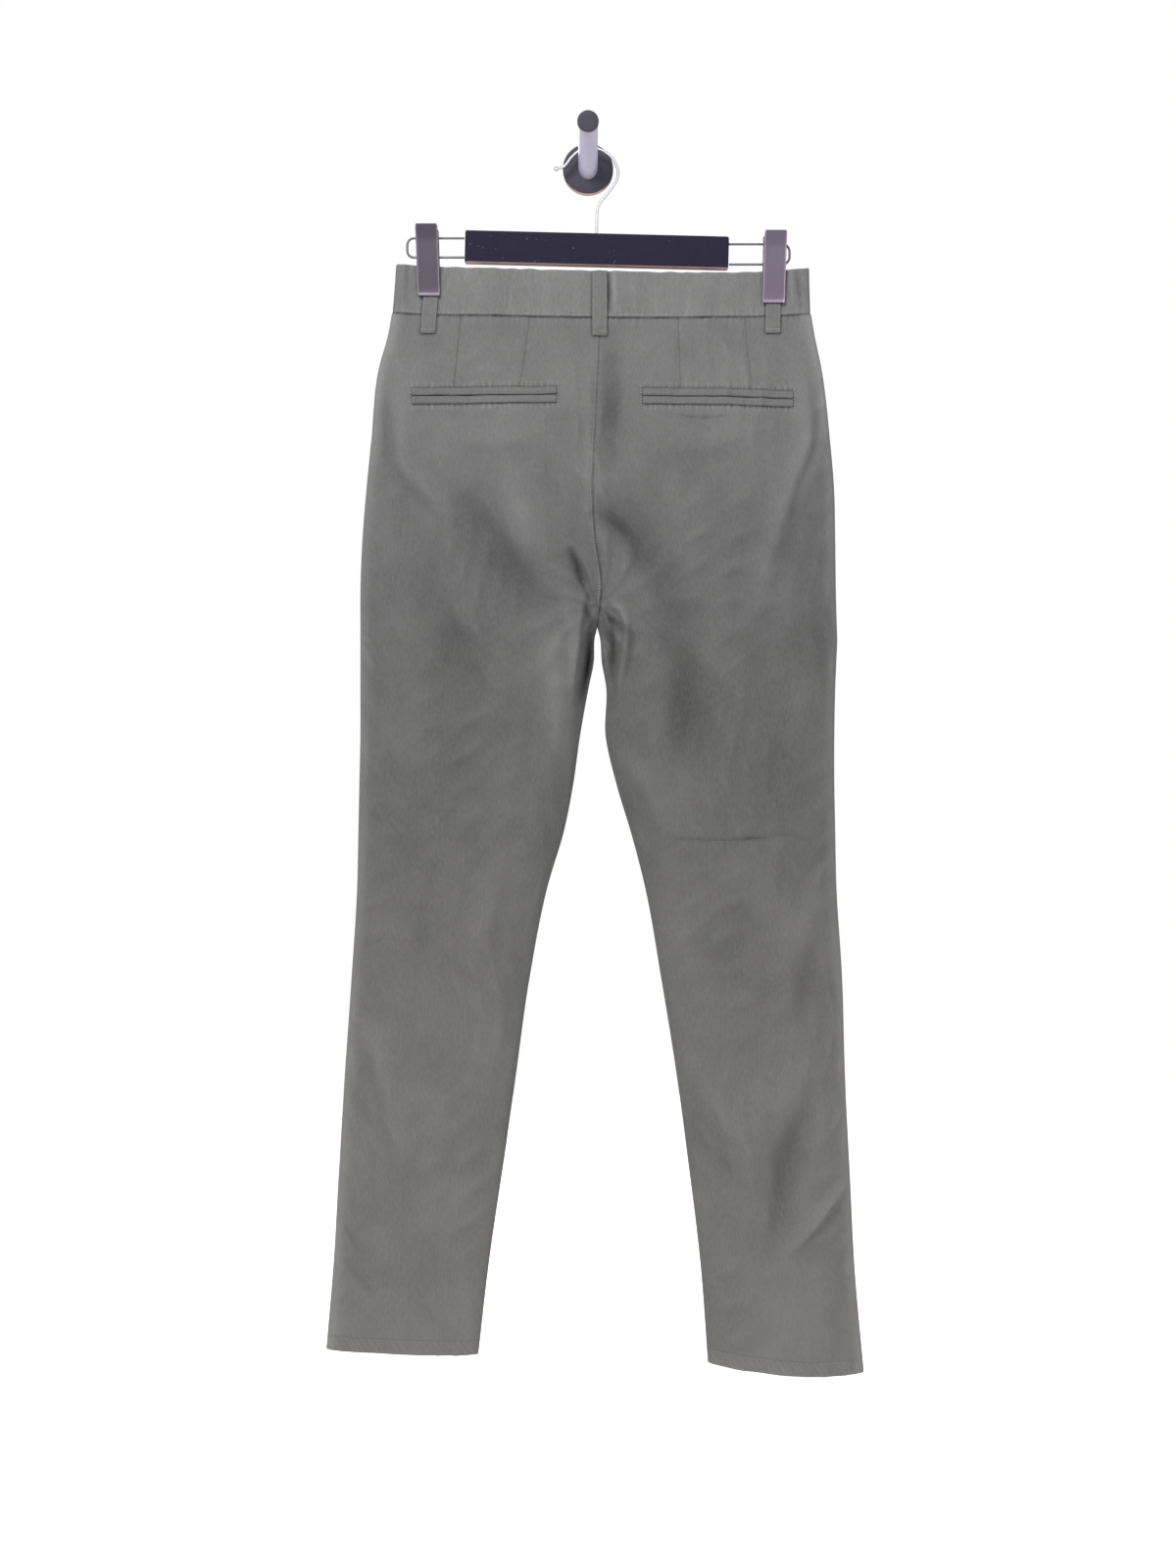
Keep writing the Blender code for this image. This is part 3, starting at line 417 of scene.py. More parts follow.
class TrousersCloth(PropertyGroup):
    """Sizes and colours of the cloth and its sewing."""

    colour: colour_setting("Cloth colour", "Olive grey of the twill", (0.17, 0.17, 0.168))
    thread_colour: colour_setting("Thread colour", "Colour of the sewing thread", (0.34, 0.338, 0.33))
    button_colour: colour_setting(
        "Button colour", "Dark horn of the waist button", (0.07, 0.065, 0.055)
    )
    wall: length_setting("Cloth thickness", "Thickness of one layer of twill", 0.0011, 0.0004, 0.003)
    band_wall: length_setting(
        "Band thickness", "Thickness of the folded waistband", 0.002, 0.001, 0.004
    )
    loop_wall: length_setting(
        "Loop thickness", "Thickness of a folded belt loop", 0.0016, 0.0008, 0.003
    )
    hem_depth: length_setting("Hem depth", "How far the hem is turned up", 0.014, 0.005, 0.05)
    stitch_length: length_setting(
        "Stitch length", "Length of one stitch with its gap", 0.0029, 0.001, 0.006
    )
    thread_width: length_setting(
        "Thread width", "Thickness of the sewing thread", 0.00072, 0.0002, 0.002
    )
    twill_pitch: length_setting(
        "Twill pitch", "Distance between the diagonal ribs of the weave", 0.0011, 0.0003, 0.004
    )
    crease_strength: bpy.props.FloatProperty(
        name="Crease strength", description="1 gives the creases their full height",
        default=1.0, min=0.0, max=1.5, subtype="FACTOR",
    )


class TrousersHanger(PropertyGroup):
    """Colours and finish of the hanger and the wall hook."""

    bar_colour: colour_setting("Bar colour", "Blue black of the hanger's bar", (0.0145, 0.012, 0.031))
    clip_colour: colour_setting("Clip colour", "Satin steel of the clips", (0.144, 0.115, 0.16))
    wire_colour: colour_setting(
        "Wire colour", "Bright steel of the hook and the rails", (0.9, 0.88, 0.95)
    )
    disc_colour: colour_setting(
        "Disc colour", "Dark grey of the wall disc and the cap", (0.026, 0.023, 0.043)
    )
    post_colour: colour_setting(
        "Post colour", "Satin metal of the wall hook's post", (0.66, 0.62, 0.77)
    )
    plate: length_setting("Plate thickness", "Thickness of the clips' steel", 0.0012, 0.0005, 0.003)


class TrousersStudio(PropertyGroup):
    """Camera, lights and floor."""

    camera_distance: length_setting("Camera distance", "From the wall to the camera", 2.228, 0.5, 10.0)
    camera_height: length_setting("Camera height", "Above the wall hook's centre", -0.621, -3.0, 3.0)
    lens: bpy.props.FloatProperty(
        name="Lens", description="Focal length for a picture 36 mm on its long side",
        default=50.5, min=10.0, max=200.0, subtype="DISTANCE_CAMERA", unit="CAMERA",
    )
    floor_height: length_setting(
        "Floor height", "Of the floor, from the wall hook's centre", -1.5, -4.0, 0.0
    )
    key_power: bpy.props.FloatProperty(
        name="Key light", description="Power of the large light above the camera",
        default=56.0, min=0.0, max=1000.0, subtype="POWER", unit="POWER",
    )
    fill: bpy.props.FloatProperty(
        name="Fill", description="Brightness of the pale room",
        default=0.22, min=0.0, max=3.0,
    )


# ---------------------------------------------------------------------- plain curves


def column(table, name):
    return np.array([getattr(row, name) for row in table], float)


def evenly(count):
    return np.linspace(0.0, 1.0, count)


def through(t, start, end, leaving, arriving):
    """A cubic's value at t, from 0 to 1, with its values and slopes at both ends."""
    first = start * (2 * t**3 - 3 * t**2 + 1) + leaving * (t**3 - 2 * t**2 + t)
    return first + (end * (3 * t**2 - 2 * t**3) + arriving * (t**3 - t**2))


def between(low, high, share):
    return low + (high - low) * share


def smooth(table, key, name, at):
    """A cubic through a table's rows, each row's slope taken from its neighbours."""
    order = np.argsort(column(table, key))
    keys, values = column(table, key)[order], column(table, name)[order]
    slopes = np.gradient(values, keys)
    at = np.clip(at, keys[0], keys[-1])
    low = np.clip(np.searchsorted(keys, at, side="right") - 1, 0, len(keys) - 2)
    span = keys[low + 1] - keys[low]
    t = (at - keys[low]) / span
    ends = values[low], values[low + 1]
    return through(t, *ends, slopes[low] * span, slopes[low + 1] * span)


def bent(route, per_leg):
    """Points of a smooth curve through a route's places."""
    beads = np.array(route, float)
    slopes = np.gradient(beads, axis=0)
    legs = zip(beads[:-1], beads[1:], slopes[:-1], slopes[1:])
    steps = np.arange(per_leg) / per_leg
    return np.array([through(t, *leg) for leg in legs for t in steps] + [beads[-1]])


def ease(share):
    share = np.clip(share, 0.0, 1.0)
    return share * share * (3.0 - 2.0 * share)


def unit(vectors):
    return vectors / np.linalg.norm(vectors, axis=-1, keepdims=True)


def uneven_wave(along, pitch, phase=0.0):
    """A wave from -1 to 1 whose spacing and height wander, as sewn cloth puckers."""
    wander = 1.4 * np.sin(2 * pi * along / (pitch * 5.3) + phase)
    swell = 0.62 + 0.38 * np.sin(2 * pi * along / (pitch * 3.7) + 1.7 * phase + 1.0)
    return swell * np.sin(2 * pi * along / pitch + wander + phase)


def slope_in(distance, width):
    """1 at a seam, falling softly to nothing by about twice the width."""
    return np.exp(-((distance / width) ** 2))


# ------------------------------------------------------------------- form of the cloth


def waist_half_depth(x, from_side):
    """Half the depth of the waist at x, closing round the fold that is from_side away."""
    keys, halves = column(WAIST, "x"), column(WAIST, "half_depth")
    x_in = np.clip(x, keys[0], keys[-1])
    low = np.clip(np.searchsorted(keys, x_in, side="right") - 1, 0, len(keys) - 2)
    share = ease((x_in - keys[low]) / (keys[low + 1] - keys[low]))
    flat = between(halves[low], halves[low + 1], share)
    inset = np.minimum(1.0, from_side / SIDE_RADIUS)
    return flat * np.sqrt(np.maximum(0.0, 1.0 - (1.0 - inset) ** 2))


def crease_relief(creases, x, z):
    """How far the creases push the cloth out at each x, z."""
    relief = np.zeros_like(x)
    for crease in creases:
        line = bent(crease.route, 6)
        margin = 3.0 * max(crease.left, crease.right)
        low, high = line.min(axis=0) - margin, line.max(axis=0) + margin
        near = (x > low[0]) & (x < high[0]) & (z > low[1]) & (z < high[1])
        px, pz = x[near], z[near]
        best = np.full(px.shape, np.inf)
        along = np.zeros(px.shape)
        leftward = np.zeros(px.shape)
        for step, (start, end) in enumerate(zip(line[:-1], line[1:])):
            run = end - start
            t = ((px - start[0]) * run[0] + (pz - start[1]) * run[1]) / (run @ run)
            t = np.clip(t, 0.0, 1.0)
            off = np.hypot(px - start[0] - t * run[0], pz - start[1] - t * run[1])
            side = (px - start[0]) * run[1] - (pz - start[1]) * run[0]
            closer = off < best
            best = np.where(closer, off, best)
            along = np.where(closer, (step + t) / (len(line) - 1), along)
            leftward = np.where(closer, side, leftward)
        width = np.where(leftward > 0, crease.left, crease.right)
        taper = np.sin(pi * along) ** 0.75
        relief[near] += crease.height * taper * np.exp(-((best / width) ** 2))
    return relief


def swing(at, x, z, shift=0.0):
    """Where a wave stands at x, z: at holds its length across, its length down and its start."""
    across, down, start = at
    return np.sin(x / across + z / down + start + shift)


# Long, low waves over all the cloth: the height of each, and the two swings that it is made of
Wave = namedtuple("Wave", "height first second shifted")
WAVES = (
    Wave(1.5, (31.0, 83.0, 0.0), (-140.0, 57.0, 0.7), True),
    Wave(1.5, (17.0, -61.0, 1.9), (47.0, 29.0, 0.0), True),
    Wave(0.7, (7.3, 33.0, 0.0), (-23.0, 15.0, 2.0), False),
)
FRONT_SHIFT = 2.1


def undulation(x, z, face):
    """Long, low waves that keep the flat stretches of cloth from looking ironed."""
    shift = 0.0 if face == "back" else FRONT_SHIFT
    wave = np.zeros_like(x)
    for row in WAVES:
        second = swing(row.second, x, z, shift if row.shifted else 0.0)
        wave += row.height * swing(row.first, x, z, shift) * second
    return wave


def crisp(wave):
    """A wave with narrow crests and wide hollows, as creased cloth has."""
    return 2.0 * ((wave + 1.0) / 2.0) ** 2.2 - 0.7


FAN_HEIGHT = 1.7
FAN_REACH = 44.0
FAN_COUNT = 13.0
LENGTHWISE_HEIGHT = 1.5
CROSSWISE_HEIGHT = 1.3


def wrinkles(x, z):
    """Short, faint wrinkles: some fan out from the crotch, others lie all over the cloth."""
    across, down = x - 10.0, z - CROTCH_Z - 20.0
    reach = np.hypot(across, down)
    turned = np.arctan2(across, -down)
    fan = np.sin(FAN_COUNT * turned + 1.4 * np.sin(reach / 17.0))
    fan *= 0.6 + 0.4 * np.sin(reach / 29.0 + 2.0 * turned)
    wrinkle = FAN_HEIGHT * slope_in(reach - FAN_REACH, FAN_REACH) * crisp(fan)
    bent_x = x + 7.0 * np.sin(z / 26.0)
    bent_z = z + 6.0 * np.sin(x / 33.0 + 1.0)
    patches = 0.5 + 0.5 * np.sin(x / 41.0 + 1.3) * swing((90.0, 63.0, 0.0), x, z)
    flat = 1.0 - patches
    lengthwise = swing((3.9, 14.0, 0.0), bent_x, bent_z) * swing((-15.0, 13.0, 0.0), bent_x, bent_z)
    crosswise = swing((-12.0, 5.3, 0.0), bent_x, bent_z) * np.sin(bent_x / 14.0 + 0.6)
    wrinkle += LENGTHWISE_HEIGHT * patches**2 * crisp(lengthwise)
    return wrinkle + CROSSWISE_HEIGHT * flat**2 * crisp(crosswise)


def trunk_depth(u, z, bulge):
    """Depth of the seat, from 0 at the side fold (u = 0) to full at the centre seam."""
    return smooth(TRUNK, "z", bulge, z) * np.sqrt(1.0 - (1.0 - u) ** ROUNDNESS)


def leg_depth(u, bulge_size):
    """Depth of one leg, 0 at both of its folds."""
    across = np.abs(2.0 * u - 1.0)
    return bulge_size * np.sqrt(np.maximum(0.0, 1.0 - across**ROUNDNESS))


# Distance between a panel's rows at each height
Spacing = namedtuple("Spacing", "z step")
BACK_ROWS = listed(Spacing,
    (-152.6, 1.3), (-162, 2.2), (-216, 2.2), (-222, 1.3), (-252, 1.3), (-262, 2.4), (-420, 2.4),
    (-440, 1.8), (-530, 2), (-600, 3), (-1190, 3), (-1196, 1.4), (-1215, 1.4),
)
FRONT_ROWS = listed(Spacing,
    (-152.6, 1.8), (-162, 3), (-420, 3), (-440, 2.4), (-530, 3.2), (-600, 4.6), (-1188, 4.6),
    (-1196, 2), (-1215, 2),
)
COLUMNS = {"back": 168, "front": 110}
EDGE_CROWDING = 0.34


def stepped(spacing, top, foot):
    """Heights from top to foot, as far apart as the spacing table says, and even in number."""
    keys, steps = column(spacing, "z")[::-1], column(spacing, "step")[::-1]
    heights = [top]
    while heights[-1] > foot:
        heights.append(heights[-1] - float(np.interp(heights[-1], keys, steps)))
    if len(heights) % 2 == 0:
        heights.append(heights[-1] - steps[0])
    heights = np.array(heights)
    return top + (heights - top) * (foot - top) / (heights[-1] - top)


def tone_of(wear_and_highlight, shade):
    """How far the cloth's tone is off its plain colour: lighter with wear and painted highlights,
    darker under painted shade.
    """
    return WEAR_AND_HIGHLIGHT_LIGHTER * np.clip(wear_and_highlight, 0.0, 1.0) - SHADE_DARKER * np.clip(shade, 0.0, 1.0)


LOOP_HEAD = -106.0
LOOP_SHADE = 0.7
SHADE_WIDTH = 1.3


def loop_shade(x, z):
    """Dark lines beside the belt loops at the back, where they stand off the cloth."""
    shade = np.zeros_like(x)
    half = LOOP_WIDTH / 2.0
    for loop in LOOPS.values():
        if loop.facing > 0:
            continue
        share = np.clip((z - LOOP_HEAD) / (loop.z_low - LOOP_HEAD), 0.0, 1.0)
        from_middle = np.abs(x - loop.x_top - (loop.x_low - loop.x_top) * share)
        beside = slope_in(from_middle - half - 0.8, SHADE_WIDTH) * ease((z - loop.z_low + 3.0) / 3.0)
        below = slope_in(z - loop.z_low + 1.2, SHADE_WIDTH) * ease((half + 1.0 - from_middle) / 2.0)
        shade = np.maximum(shade, np.maximum(beside, below))
    return LOOP_SHADE * shade


# Puckers beside a seam: how high, how far they reach from it, how often, and where they start
Pucker = namedtuple("Pucker", "height reach pitch phase")
BELOW_BAND = Pucker(0.26, 8.0, 6.5, 0.4)
ALONG_SEAM = Pucker(0.3, 5.0, 7.0, 2.2)
BAND_FOOT = Pucker(0.42, 8.0, 6.0, 0.2)
BAND_HEAD = Pucker(0.2, 9.0, 8.0, 2.0)
MOUTH_PITCH = 5.2
MOUTH_PHASES = {"left": 0.9, "right": 3.0}
HEM_ROPING = 0.3
ALLOWANCE = 0.55
ALLOWANCE_WIDTH = 9.0


def puckered(pucker, distance, along):
    wave = uneven_wave(along, pucker.pitch, pucker.phase)
    return pucker.height * slope_in(distance, pucker.reach) * wave


def mouth_relief(side, x, z):
    """The relief, the wear with painted highlights and the painted shade that a back pocket's welts
    and topstitching give its panel.
    """
    relief, wear_and_highlight, shade = np.zeros((3, *x.shape))
    for welt in WELTS.values():
        if welt.panel != f"cloth_back_{side}":
            continue
        share = (x - welt.x0) / (welt.x1 - welt.x0)
        from_slit = z - welt.z0 - (welt.z1 - welt.z0) * share
        ends = ease((x - welt.x0 + 5.0) / 5.0) * ease((welt.x1 + 5.0 - x) / 5.0)
        above = np.abs(from_slit) - WELT_HEIGHT - MOUTH_STITCH_OFF
        ticks = ends * slope_in(above, 3.2) * uneven_wave(x, MOUTH_PITCH, MOUTH_PHASES[side])
        relief += 0.55 * ticks - 0.45 * ends * slope_in(above, 1.0)
        relief -= 1.2 * ends * slope_in(from_slit, 1.4)
        wear_and_highlight += np.maximum(0.0, ticks) * 1.2 + 0.22 * ends * slope_in(above - 1.4, 1.0)
        frame_line = slope_in(np.abs(from_slit) - WELT_HEIGHT - 0.5, 0.9)
        shade += ends * (slope_in(from_slit, 1.8) + 0.5 * slope_in(above, 0.9) + 0.9 * frame_line)
        past_end = np.minimum(np.abs(x - welt.x0 + 0.7), np.abs(x - welt.x1 - 0.7))
        shade += 0.9 * slope_in(past_end, 0.9) * ease(WELT_HEIGHT + 1.2 - np.abs(from_slit))
    return relief, wear_and_highlight, shade


def dart_relief(side, x, z):
    """The relief and shade of the darts in a back panel."""
    relief, shade = np.zeros((2, *x.shape))
    for dart in DARTS:
        if dart.panel != f"cloth_back_{side}":
            continue
        share = np.clip((dart.z_top - z) / (dart.z_top - dart.z_low), 0.0, 1.0)
        middle = between(dart.x_top, dart.x_low, share)
        fades = ease((z - dart.z_low + 6.0) / 8.0)
        relief += fades * (0.5 * slope_in(x - middle + 2.4, 2.6) - 0.6 * slope_in(x - middle, 1.4))
        shade += 0.6 * fades * slope_in(x - middle - 1.1, 1.0)
    return relief, shade


def sewn_relief(side, face, x, z, seam_z, hem_z, inner, hem_depth):
    """Puckers along the seams and hems, and the grooves that sewing pulls in.

    It comes with the tone that they give: raised cloth along a seam is lighter with wear and
    a painted highlight, and the lines where it is drawn in get painted shade.
    """
    below_band = seam_z - z
    above_hem = z - hem_z
    tight = puckered(BELOW_BAND, below_band, x)
    relief = tight - 0.9 * slope_in(below_band, 1.4)
    wear_and_highlight = np.maximum(0.0, tight) * 1.6
    shade = 0.85 * slope_in(below_band, 2.0)

    in_hem = ease((hem_depth + 3.0 - above_hem) / 4.0)
    roped = HEM_ROPING * in_hem * uneven_wave(x + 0.7 * above_hem, 6.0, 1.3)
    relief += roped - 0.45 * slope_in(above_hem - hem_depth, 1.5)
    relief -= 0.5 * slope_in(above_hem, 1.2)
    wear_and_highlight += np.maximum(0.0, roped) * 1.5 + 0.5 * slope_in(above_hem, 1.5)
    shade += 0.3 * slope_in(above_hem - hem_depth, 1.2)

    from_seam = np.abs(x - inner)
    on_trunk = z > CROTCH_Z
    drawn = puckered(ALONG_SEAM, from_seam, z)
    groove = -0.7 * slope_in(from_seam, 1.1)
    if side == "left":
        groove = groove + ALLOWANCE * ease((ALLOWANCE_WIDTH - from_seam) / 2.0)
    relief += np.where(on_trunk, drawn + groove, 0.35 * drawn)
    wear_and_highlight += np.where(on_trunk, np.maximum(0.0, drawn) * 1.2, 0.0)
    drawn_dark = 0.28 + 0.5 * ease((-300.0 - z) / 90.0)
    shade += np.where(on_trunk, drawn_dark * slope_in(from_seam, 1.0), 0.0)

    if face == "back":
        mouth, mouth_wear_and_highlight, mouth_shade = mouth_relief(side, x, z)
        dart, dart_shade = dart_relief(side, x, z)
        relief += mouth + dart
        wear_and_highlight += mouth_wear_and_highlight
        shade += mouth_shade + dart_shade + loop_shade(x, z)
    return relief, tone_of(wear_and_highlight, shade)


def panel_points(side, face, cloth):
    """Outer points of a panel from its side fold to its centre, and the tone of each: wear, painted
    light and painted shade.
    """
    count = COLUMNS[face]
    steps = np.arange(count + 1) / count
    u = EDGE_CROWDING * (1.0 - np.cos(pi * steps)) / 2.0 + (1.0 - EDGE_CROWDING) * steps
    top_z = column(TRUNK, "z").max()
    foot_z = column(LEGS, "z").min()
    spacing = BACK_ROWS if face == "back" else FRONT_ROWS
    heights = np.concatenate([
        stepped(spacing, top_z, CROTCH_Z),
        stepped(spacing, CROTCH_Z, foot_z)[1:],
    ])
    z, u = np.meshgrid(heights, u, indexing="ij")
    above = z > CROTCH_Z + 1e-6
    sign = -1.0 if side == "left" else 1.0

    outer_leg = smooth(LEGS, "z", side + "_out", z)
    inner_leg = smooth(LEGS, "z", side + "_in", z)
    outer = np.where(above, smooth(TRUNK, "z", side, z), outer_leg)
    inner = np.where(above, smooth(TRUNK, "z", "seam", z), inner_leg)
    inner = inner + sign * CLOTH_GAP / 2.0
    x = between(outer, inner, u)

    risen = np.clip((z - CROTCH_Z) / CROTCH_BLEND, 0.0, 1.0)
    whole = ease(risen) + (risen * (2.0 - risen) - ease(risen)) * u**5
    leg_bulge = np.where(above, getattr(TRUNK[-1], face), smooth(LEGS, "z", face, z))
    body = trunk_depth(u, np.maximum(z, CROTCH_Z), face)
    depth = np.sqrt(whole * body**2 + (1.0 - whole) * leg_depth(u, leg_bulge) ** 2)

    waist = waist_half_depth(x, np.abs(x - outer)) * (1.0 - BAND_PROUD / SIDE_RADIUS)
    hung = ease((top_z - z) / WAIST_BLEND)
    depth = between(waist, depth, hung)

    seam = smooth(BAND_SEAM, "x", "z", x) - CLOTH_GAP / 2.0
    hem = smooth(LEFT_HEM if side == "left" else RIGHT_HEM, "x", "z", x)
    from_top = np.clip((z - CROTCH_Z) / (top_z - CROTCH_Z), 0.0, 1.0) ** 2
    from_hem = np.clip(1.0 - (z - foot_z) / HEM_BLEND, 0.0, 1.0)
    moved = z + (seam - top_z) * from_top + (hem - foot_z) * from_hem

    folds = BACK_FOLDS if face == "back" else FRONT_FOLDS
    creases = BACK_CREASES if face == "back" else FRONT_CREASES
    relief = crease_relief(folds, x, moved) + crease_relief(creases, x, moved)
    relief += undulation(x, moved, face) * ease((top_z - z) / 60.0)
    relief += wrinkles(x, moved) * ease((top_z - z) / 12.0)
    relief *= cloth.crease_strength * np.minimum(1.0, depth / FULL_FOLD_DEPTH)
    sewn, tone = sewn_relief(side, face, x, moved, seam, hem, inner, cloth.hem_depth / MM)
    # Painted shade in the troughs and painted light on the ridges, and painted light and shade by
    # height
    tone += np.clip(FOLD_PAINTED_SHADING * relief, *FOLD_PAINTED_SHADING_LIMITS) + smooth(PAINTED_LIGHT_BY_HEIGHT, "z", "tone", moved)
    # Painted rim light along the side fold
    tone += SIDE_PAINTED_RIM_LIGHT * slope_in(np.abs(x - outer), SIDE_RIM_LIGHT_WIDTH)
    # Painted shade and painted light on the back panels
    if face == "back":
        tone += crease_relief(BACK_PAINTED_SHADE_AND_LIGHT, x, moved)
    relief += sewn * np.minimum(1.0, depth / 2.0)

    middle = np.where(above, smooth(TRUNK, "z", "mid", z), smooth(LEGS, "z", "mid", z))
    out = -1.0 if face == "back" else 1.0
    y = middle + out * (CLOTH_GAP / 2.0 + np.maximum(0.0, depth + relief))
    return np.stack([x, y, moved], axis=-1), heights, tone


def outward(grid, towards):
    """A unit normal at each point of a grid, on the side that faces towards."""
    normal = unit(np.cross(np.gradient(grid, axis=0), np.gradient(grid, axis=1)))
    return normal if (normal * towards).sum(axis=-1).mean() > 0 else -normal


def panel_inside(points, heights, face, wall, hem_depth):
    """The panel's inner points: the wall's thickness in, and square to each seam."""
    normal = outward(points, np.array([0.0, -1.0 if face == "back" else 1.0, 0.0]))
    crotch = int(np.argmin(np.abs(heights - CROTCH_Z)))
    normal[:, 0, 1] = 0.0
    normal[crotch:, -1, 1] = 0.0
    normal[:crotch, -1, 0] = 0.0
    normal[0, :, 2] = 0.0
    normal[-1, :, 2] = 0.0
    normal = unit(normal)
    normal[crotch, -1] = (0.0, 0.0, -1.0)
    doubled = heights < heights[-1] + hem_depth + 0.5
    thick = np.where(doubled, 2.0 * wall, wall)
    return points - normal * thick[:, None, None]


# ------------------------------------------------------------------------ mesh helpers


def clear(name):
    """Removes a piece left by an earlier run of the same button."""
    old = bpy.data.objects.get(name)
    if old is not None:
        bpy.data.objects.remove(old, do_unlink=True)


def made_of(name):
    """A piece that has to be there before the next one can lie on it."""
    found = bpy.data.objects.get(name)
    if found is None:
        raise RuntimeError(f"{name} isn't made yet")
    return found


def mesh_of(name, points, faces, smooth_angle=40.0):
    """A closed mesh from points in millimetres, its faces turned outwards."""
    mesh = bpy.data.meshes.new(name)
    mesh.from_pydata((np.asarray(points).reshape(-1, 3) * MM).tolist(), [], faces)
    shape = bmesh.new()
    shape.from_mesh(mesh)
    bmesh.ops.recalc_face_normals(shape, faces=shape.faces)
    if shape.calc_volume(signed=True) < 0:
        bmesh.ops.reverse_faces(shape, faces=shape.faces)
    shape.to_mesh(mesh)
    shape.free()
    mesh.shade_smooth()
    mesh.set_sharp_from_angle(angle=radians(smooth_angle))
    return mesh


def give_uv(mesh, flat):
    """A UV map in metres, so that the weave keeps its size and follows the cloth."""
    corners = np.zeros(len(mesh.loops), np.int32)
    mesh.loops.foreach_get("vertex_index", corners)
    layer = mesh.uv_layers.new(name="cloth")
    layer.data.foreach_set("uv", (flat[corners] * MM).astype(np.float32).ravel())


def give_tone(mesh, tone):
    """How much lighter or darker than its plain colour a piece is painted at each point: wear, painted
    light and painted shade.
    """
    attribute = mesh.attributes.new("tone", "FLOAT", "POINT")
    attribute.data.foreach_set("value", tone.astype(np.float32))


def place(name, mesh, finish, nodes=()):
    """Puts a mesh in the scene as a piece that rides on the frame's one body."""
    clear(name)
    piece = bpy.data.objects.new(name, mesh)
    bpy.context.scene.collection.objects.link(piece)
    mesh.materials.clear()
    mesh.materials.append(finish)
    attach(piece, BODY)
    if nodes:
        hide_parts(*nodes)
    return piece


def grid_quads(rows, columns, first=0):
    """Squares of a grid whose points are numbered row by row from first."""
    index = first + np.arange(rows * columns).reshape(rows, columns)
    return np.stack(
        [index[:-1, :-1], index[1:, :-1], index[1:, 1:], index[:-1, 1:]], axis=-1
    ).reshape(-1, 4)


def border(index):
    """The rim of a grid of point numbers, once round."""
    return [*index[0, :-1], *index[:-1, -1], *index[-1, :0:-1], *index[:0:-1, 0]]


def wall_mesh(name, outside, inside, tone=None, coarse=1):
    """A closed wall between an outer grid and an inner one that has every coarse-th point."""
    inner = inside[::coarse, ::coarse]
    rows, columns = outside.shape[:2]
    inner_rows, inner_columns = inner.shape[:2]
    count = rows * columns
    faces = [tuple(face) for face in grid_quads(rows, columns).tolist()]
    faces += [tuple(face[::-1]) for face in grid_quads(inner_rows, inner_columns, count).tolist()]
    outer_rim = border(np.arange(count).reshape(rows, columns))
    inner_count = inner_rows * inner_columns
    inner_rim = border(count + np.arange(inner_count).reshape(inner_rows, inner_columns))
    for step, low in enumerate(inner_rim):
        after = inner_rim[(step + 1) % len(inner_rim)]
        run = [outer_rim[(step * coarse + k) % len(outer_rim)] for k in range(coarse + 1)]
        run = [int(point) for point in run]
        for here, there in zip(run[:-1], run[1:]):
            faces.append((here, there, int(low)))
        faces.append((run[-1], int(after), int(low)))
    points = np.concatenate([outside.reshape(-1, 3), inner.reshape(-1, 3)])
    mesh = mesh_of(name, points, faces)

    across = np.linalg.norm(np.diff(outside, axis=1), axis=2).cumsum(axis=1)
    across = np.concatenate([np.zeros((rows, 1)), across], axis=1)
    across -= across[:, columns // 2 : columns // 2 + 1]
    flat = np.stack([across, outside[..., 2]], axis=-1)
    flat = np.concatenate([flat.reshape(-1, 2), flat[::coarse, ::coarse].reshape(-1, 2)])
    give_uv(mesh, flat)
    shown = np.zeros(count) if tone is None else tone.ravel()
    give_tone(mesh, np.concatenate([shown, np.zeros(inner_count)]))
    return mesh


def surface_of(*names):
    """Search trees of the pieces with these names."""
    trees = []
    for name in names:
        mesh = made_of(name).data
        points = [vertex.co for vertex in mesh.vertices]
        faces = [tuple(face.vertices) for face in mesh.polygons]
        trees.append(BVHTree.FromPolygons(points, faces))
    return trees


def cloth_y(surfaces, x, z, facing, reach=0.0):
    """The y that stands out most within reach of x, z on these surfaces."""
    found = []
    around = ((0, 0), (-reach, 0), (reach, 0), (0, -reach), (0, reach)) if reach else ((0, 0),)
    for dx, dz in around:
        for surface in surfaces:
            start = ((x + dx) * MM, 0.5 * facing, (z + dz) * MM)
            spot = surface.ray_cast(start, (0.0, -float(facing), 0.0))[0]
            if spot is not None:
                found.append(spot.y / MM)
    if not found:
        raise RuntimeError(f"there is no cloth at x {x:.1f}, z {z:.1f}")
    return facing * max(facing * y for y in found)


PANELS = {
    "cloth_back_left": ("left", "back", "back_panel_left"),
    "cloth_back_right": ("right", "back", "back_panel_right"),
    "cloth_front_left": ("left", "front", "front_panel_left"),
    "cloth_front_right": ("right", "front", "front_panel_right"),
}
BANDS = {
    "cloth_band_left": ("left", "waistband_left"),
    "cloth_band_right": ("right", "waistband_right"),
}
ALL_CLOTH = (*PANELS, *BANDS)


# --------------------------------------------------------------------------- materials


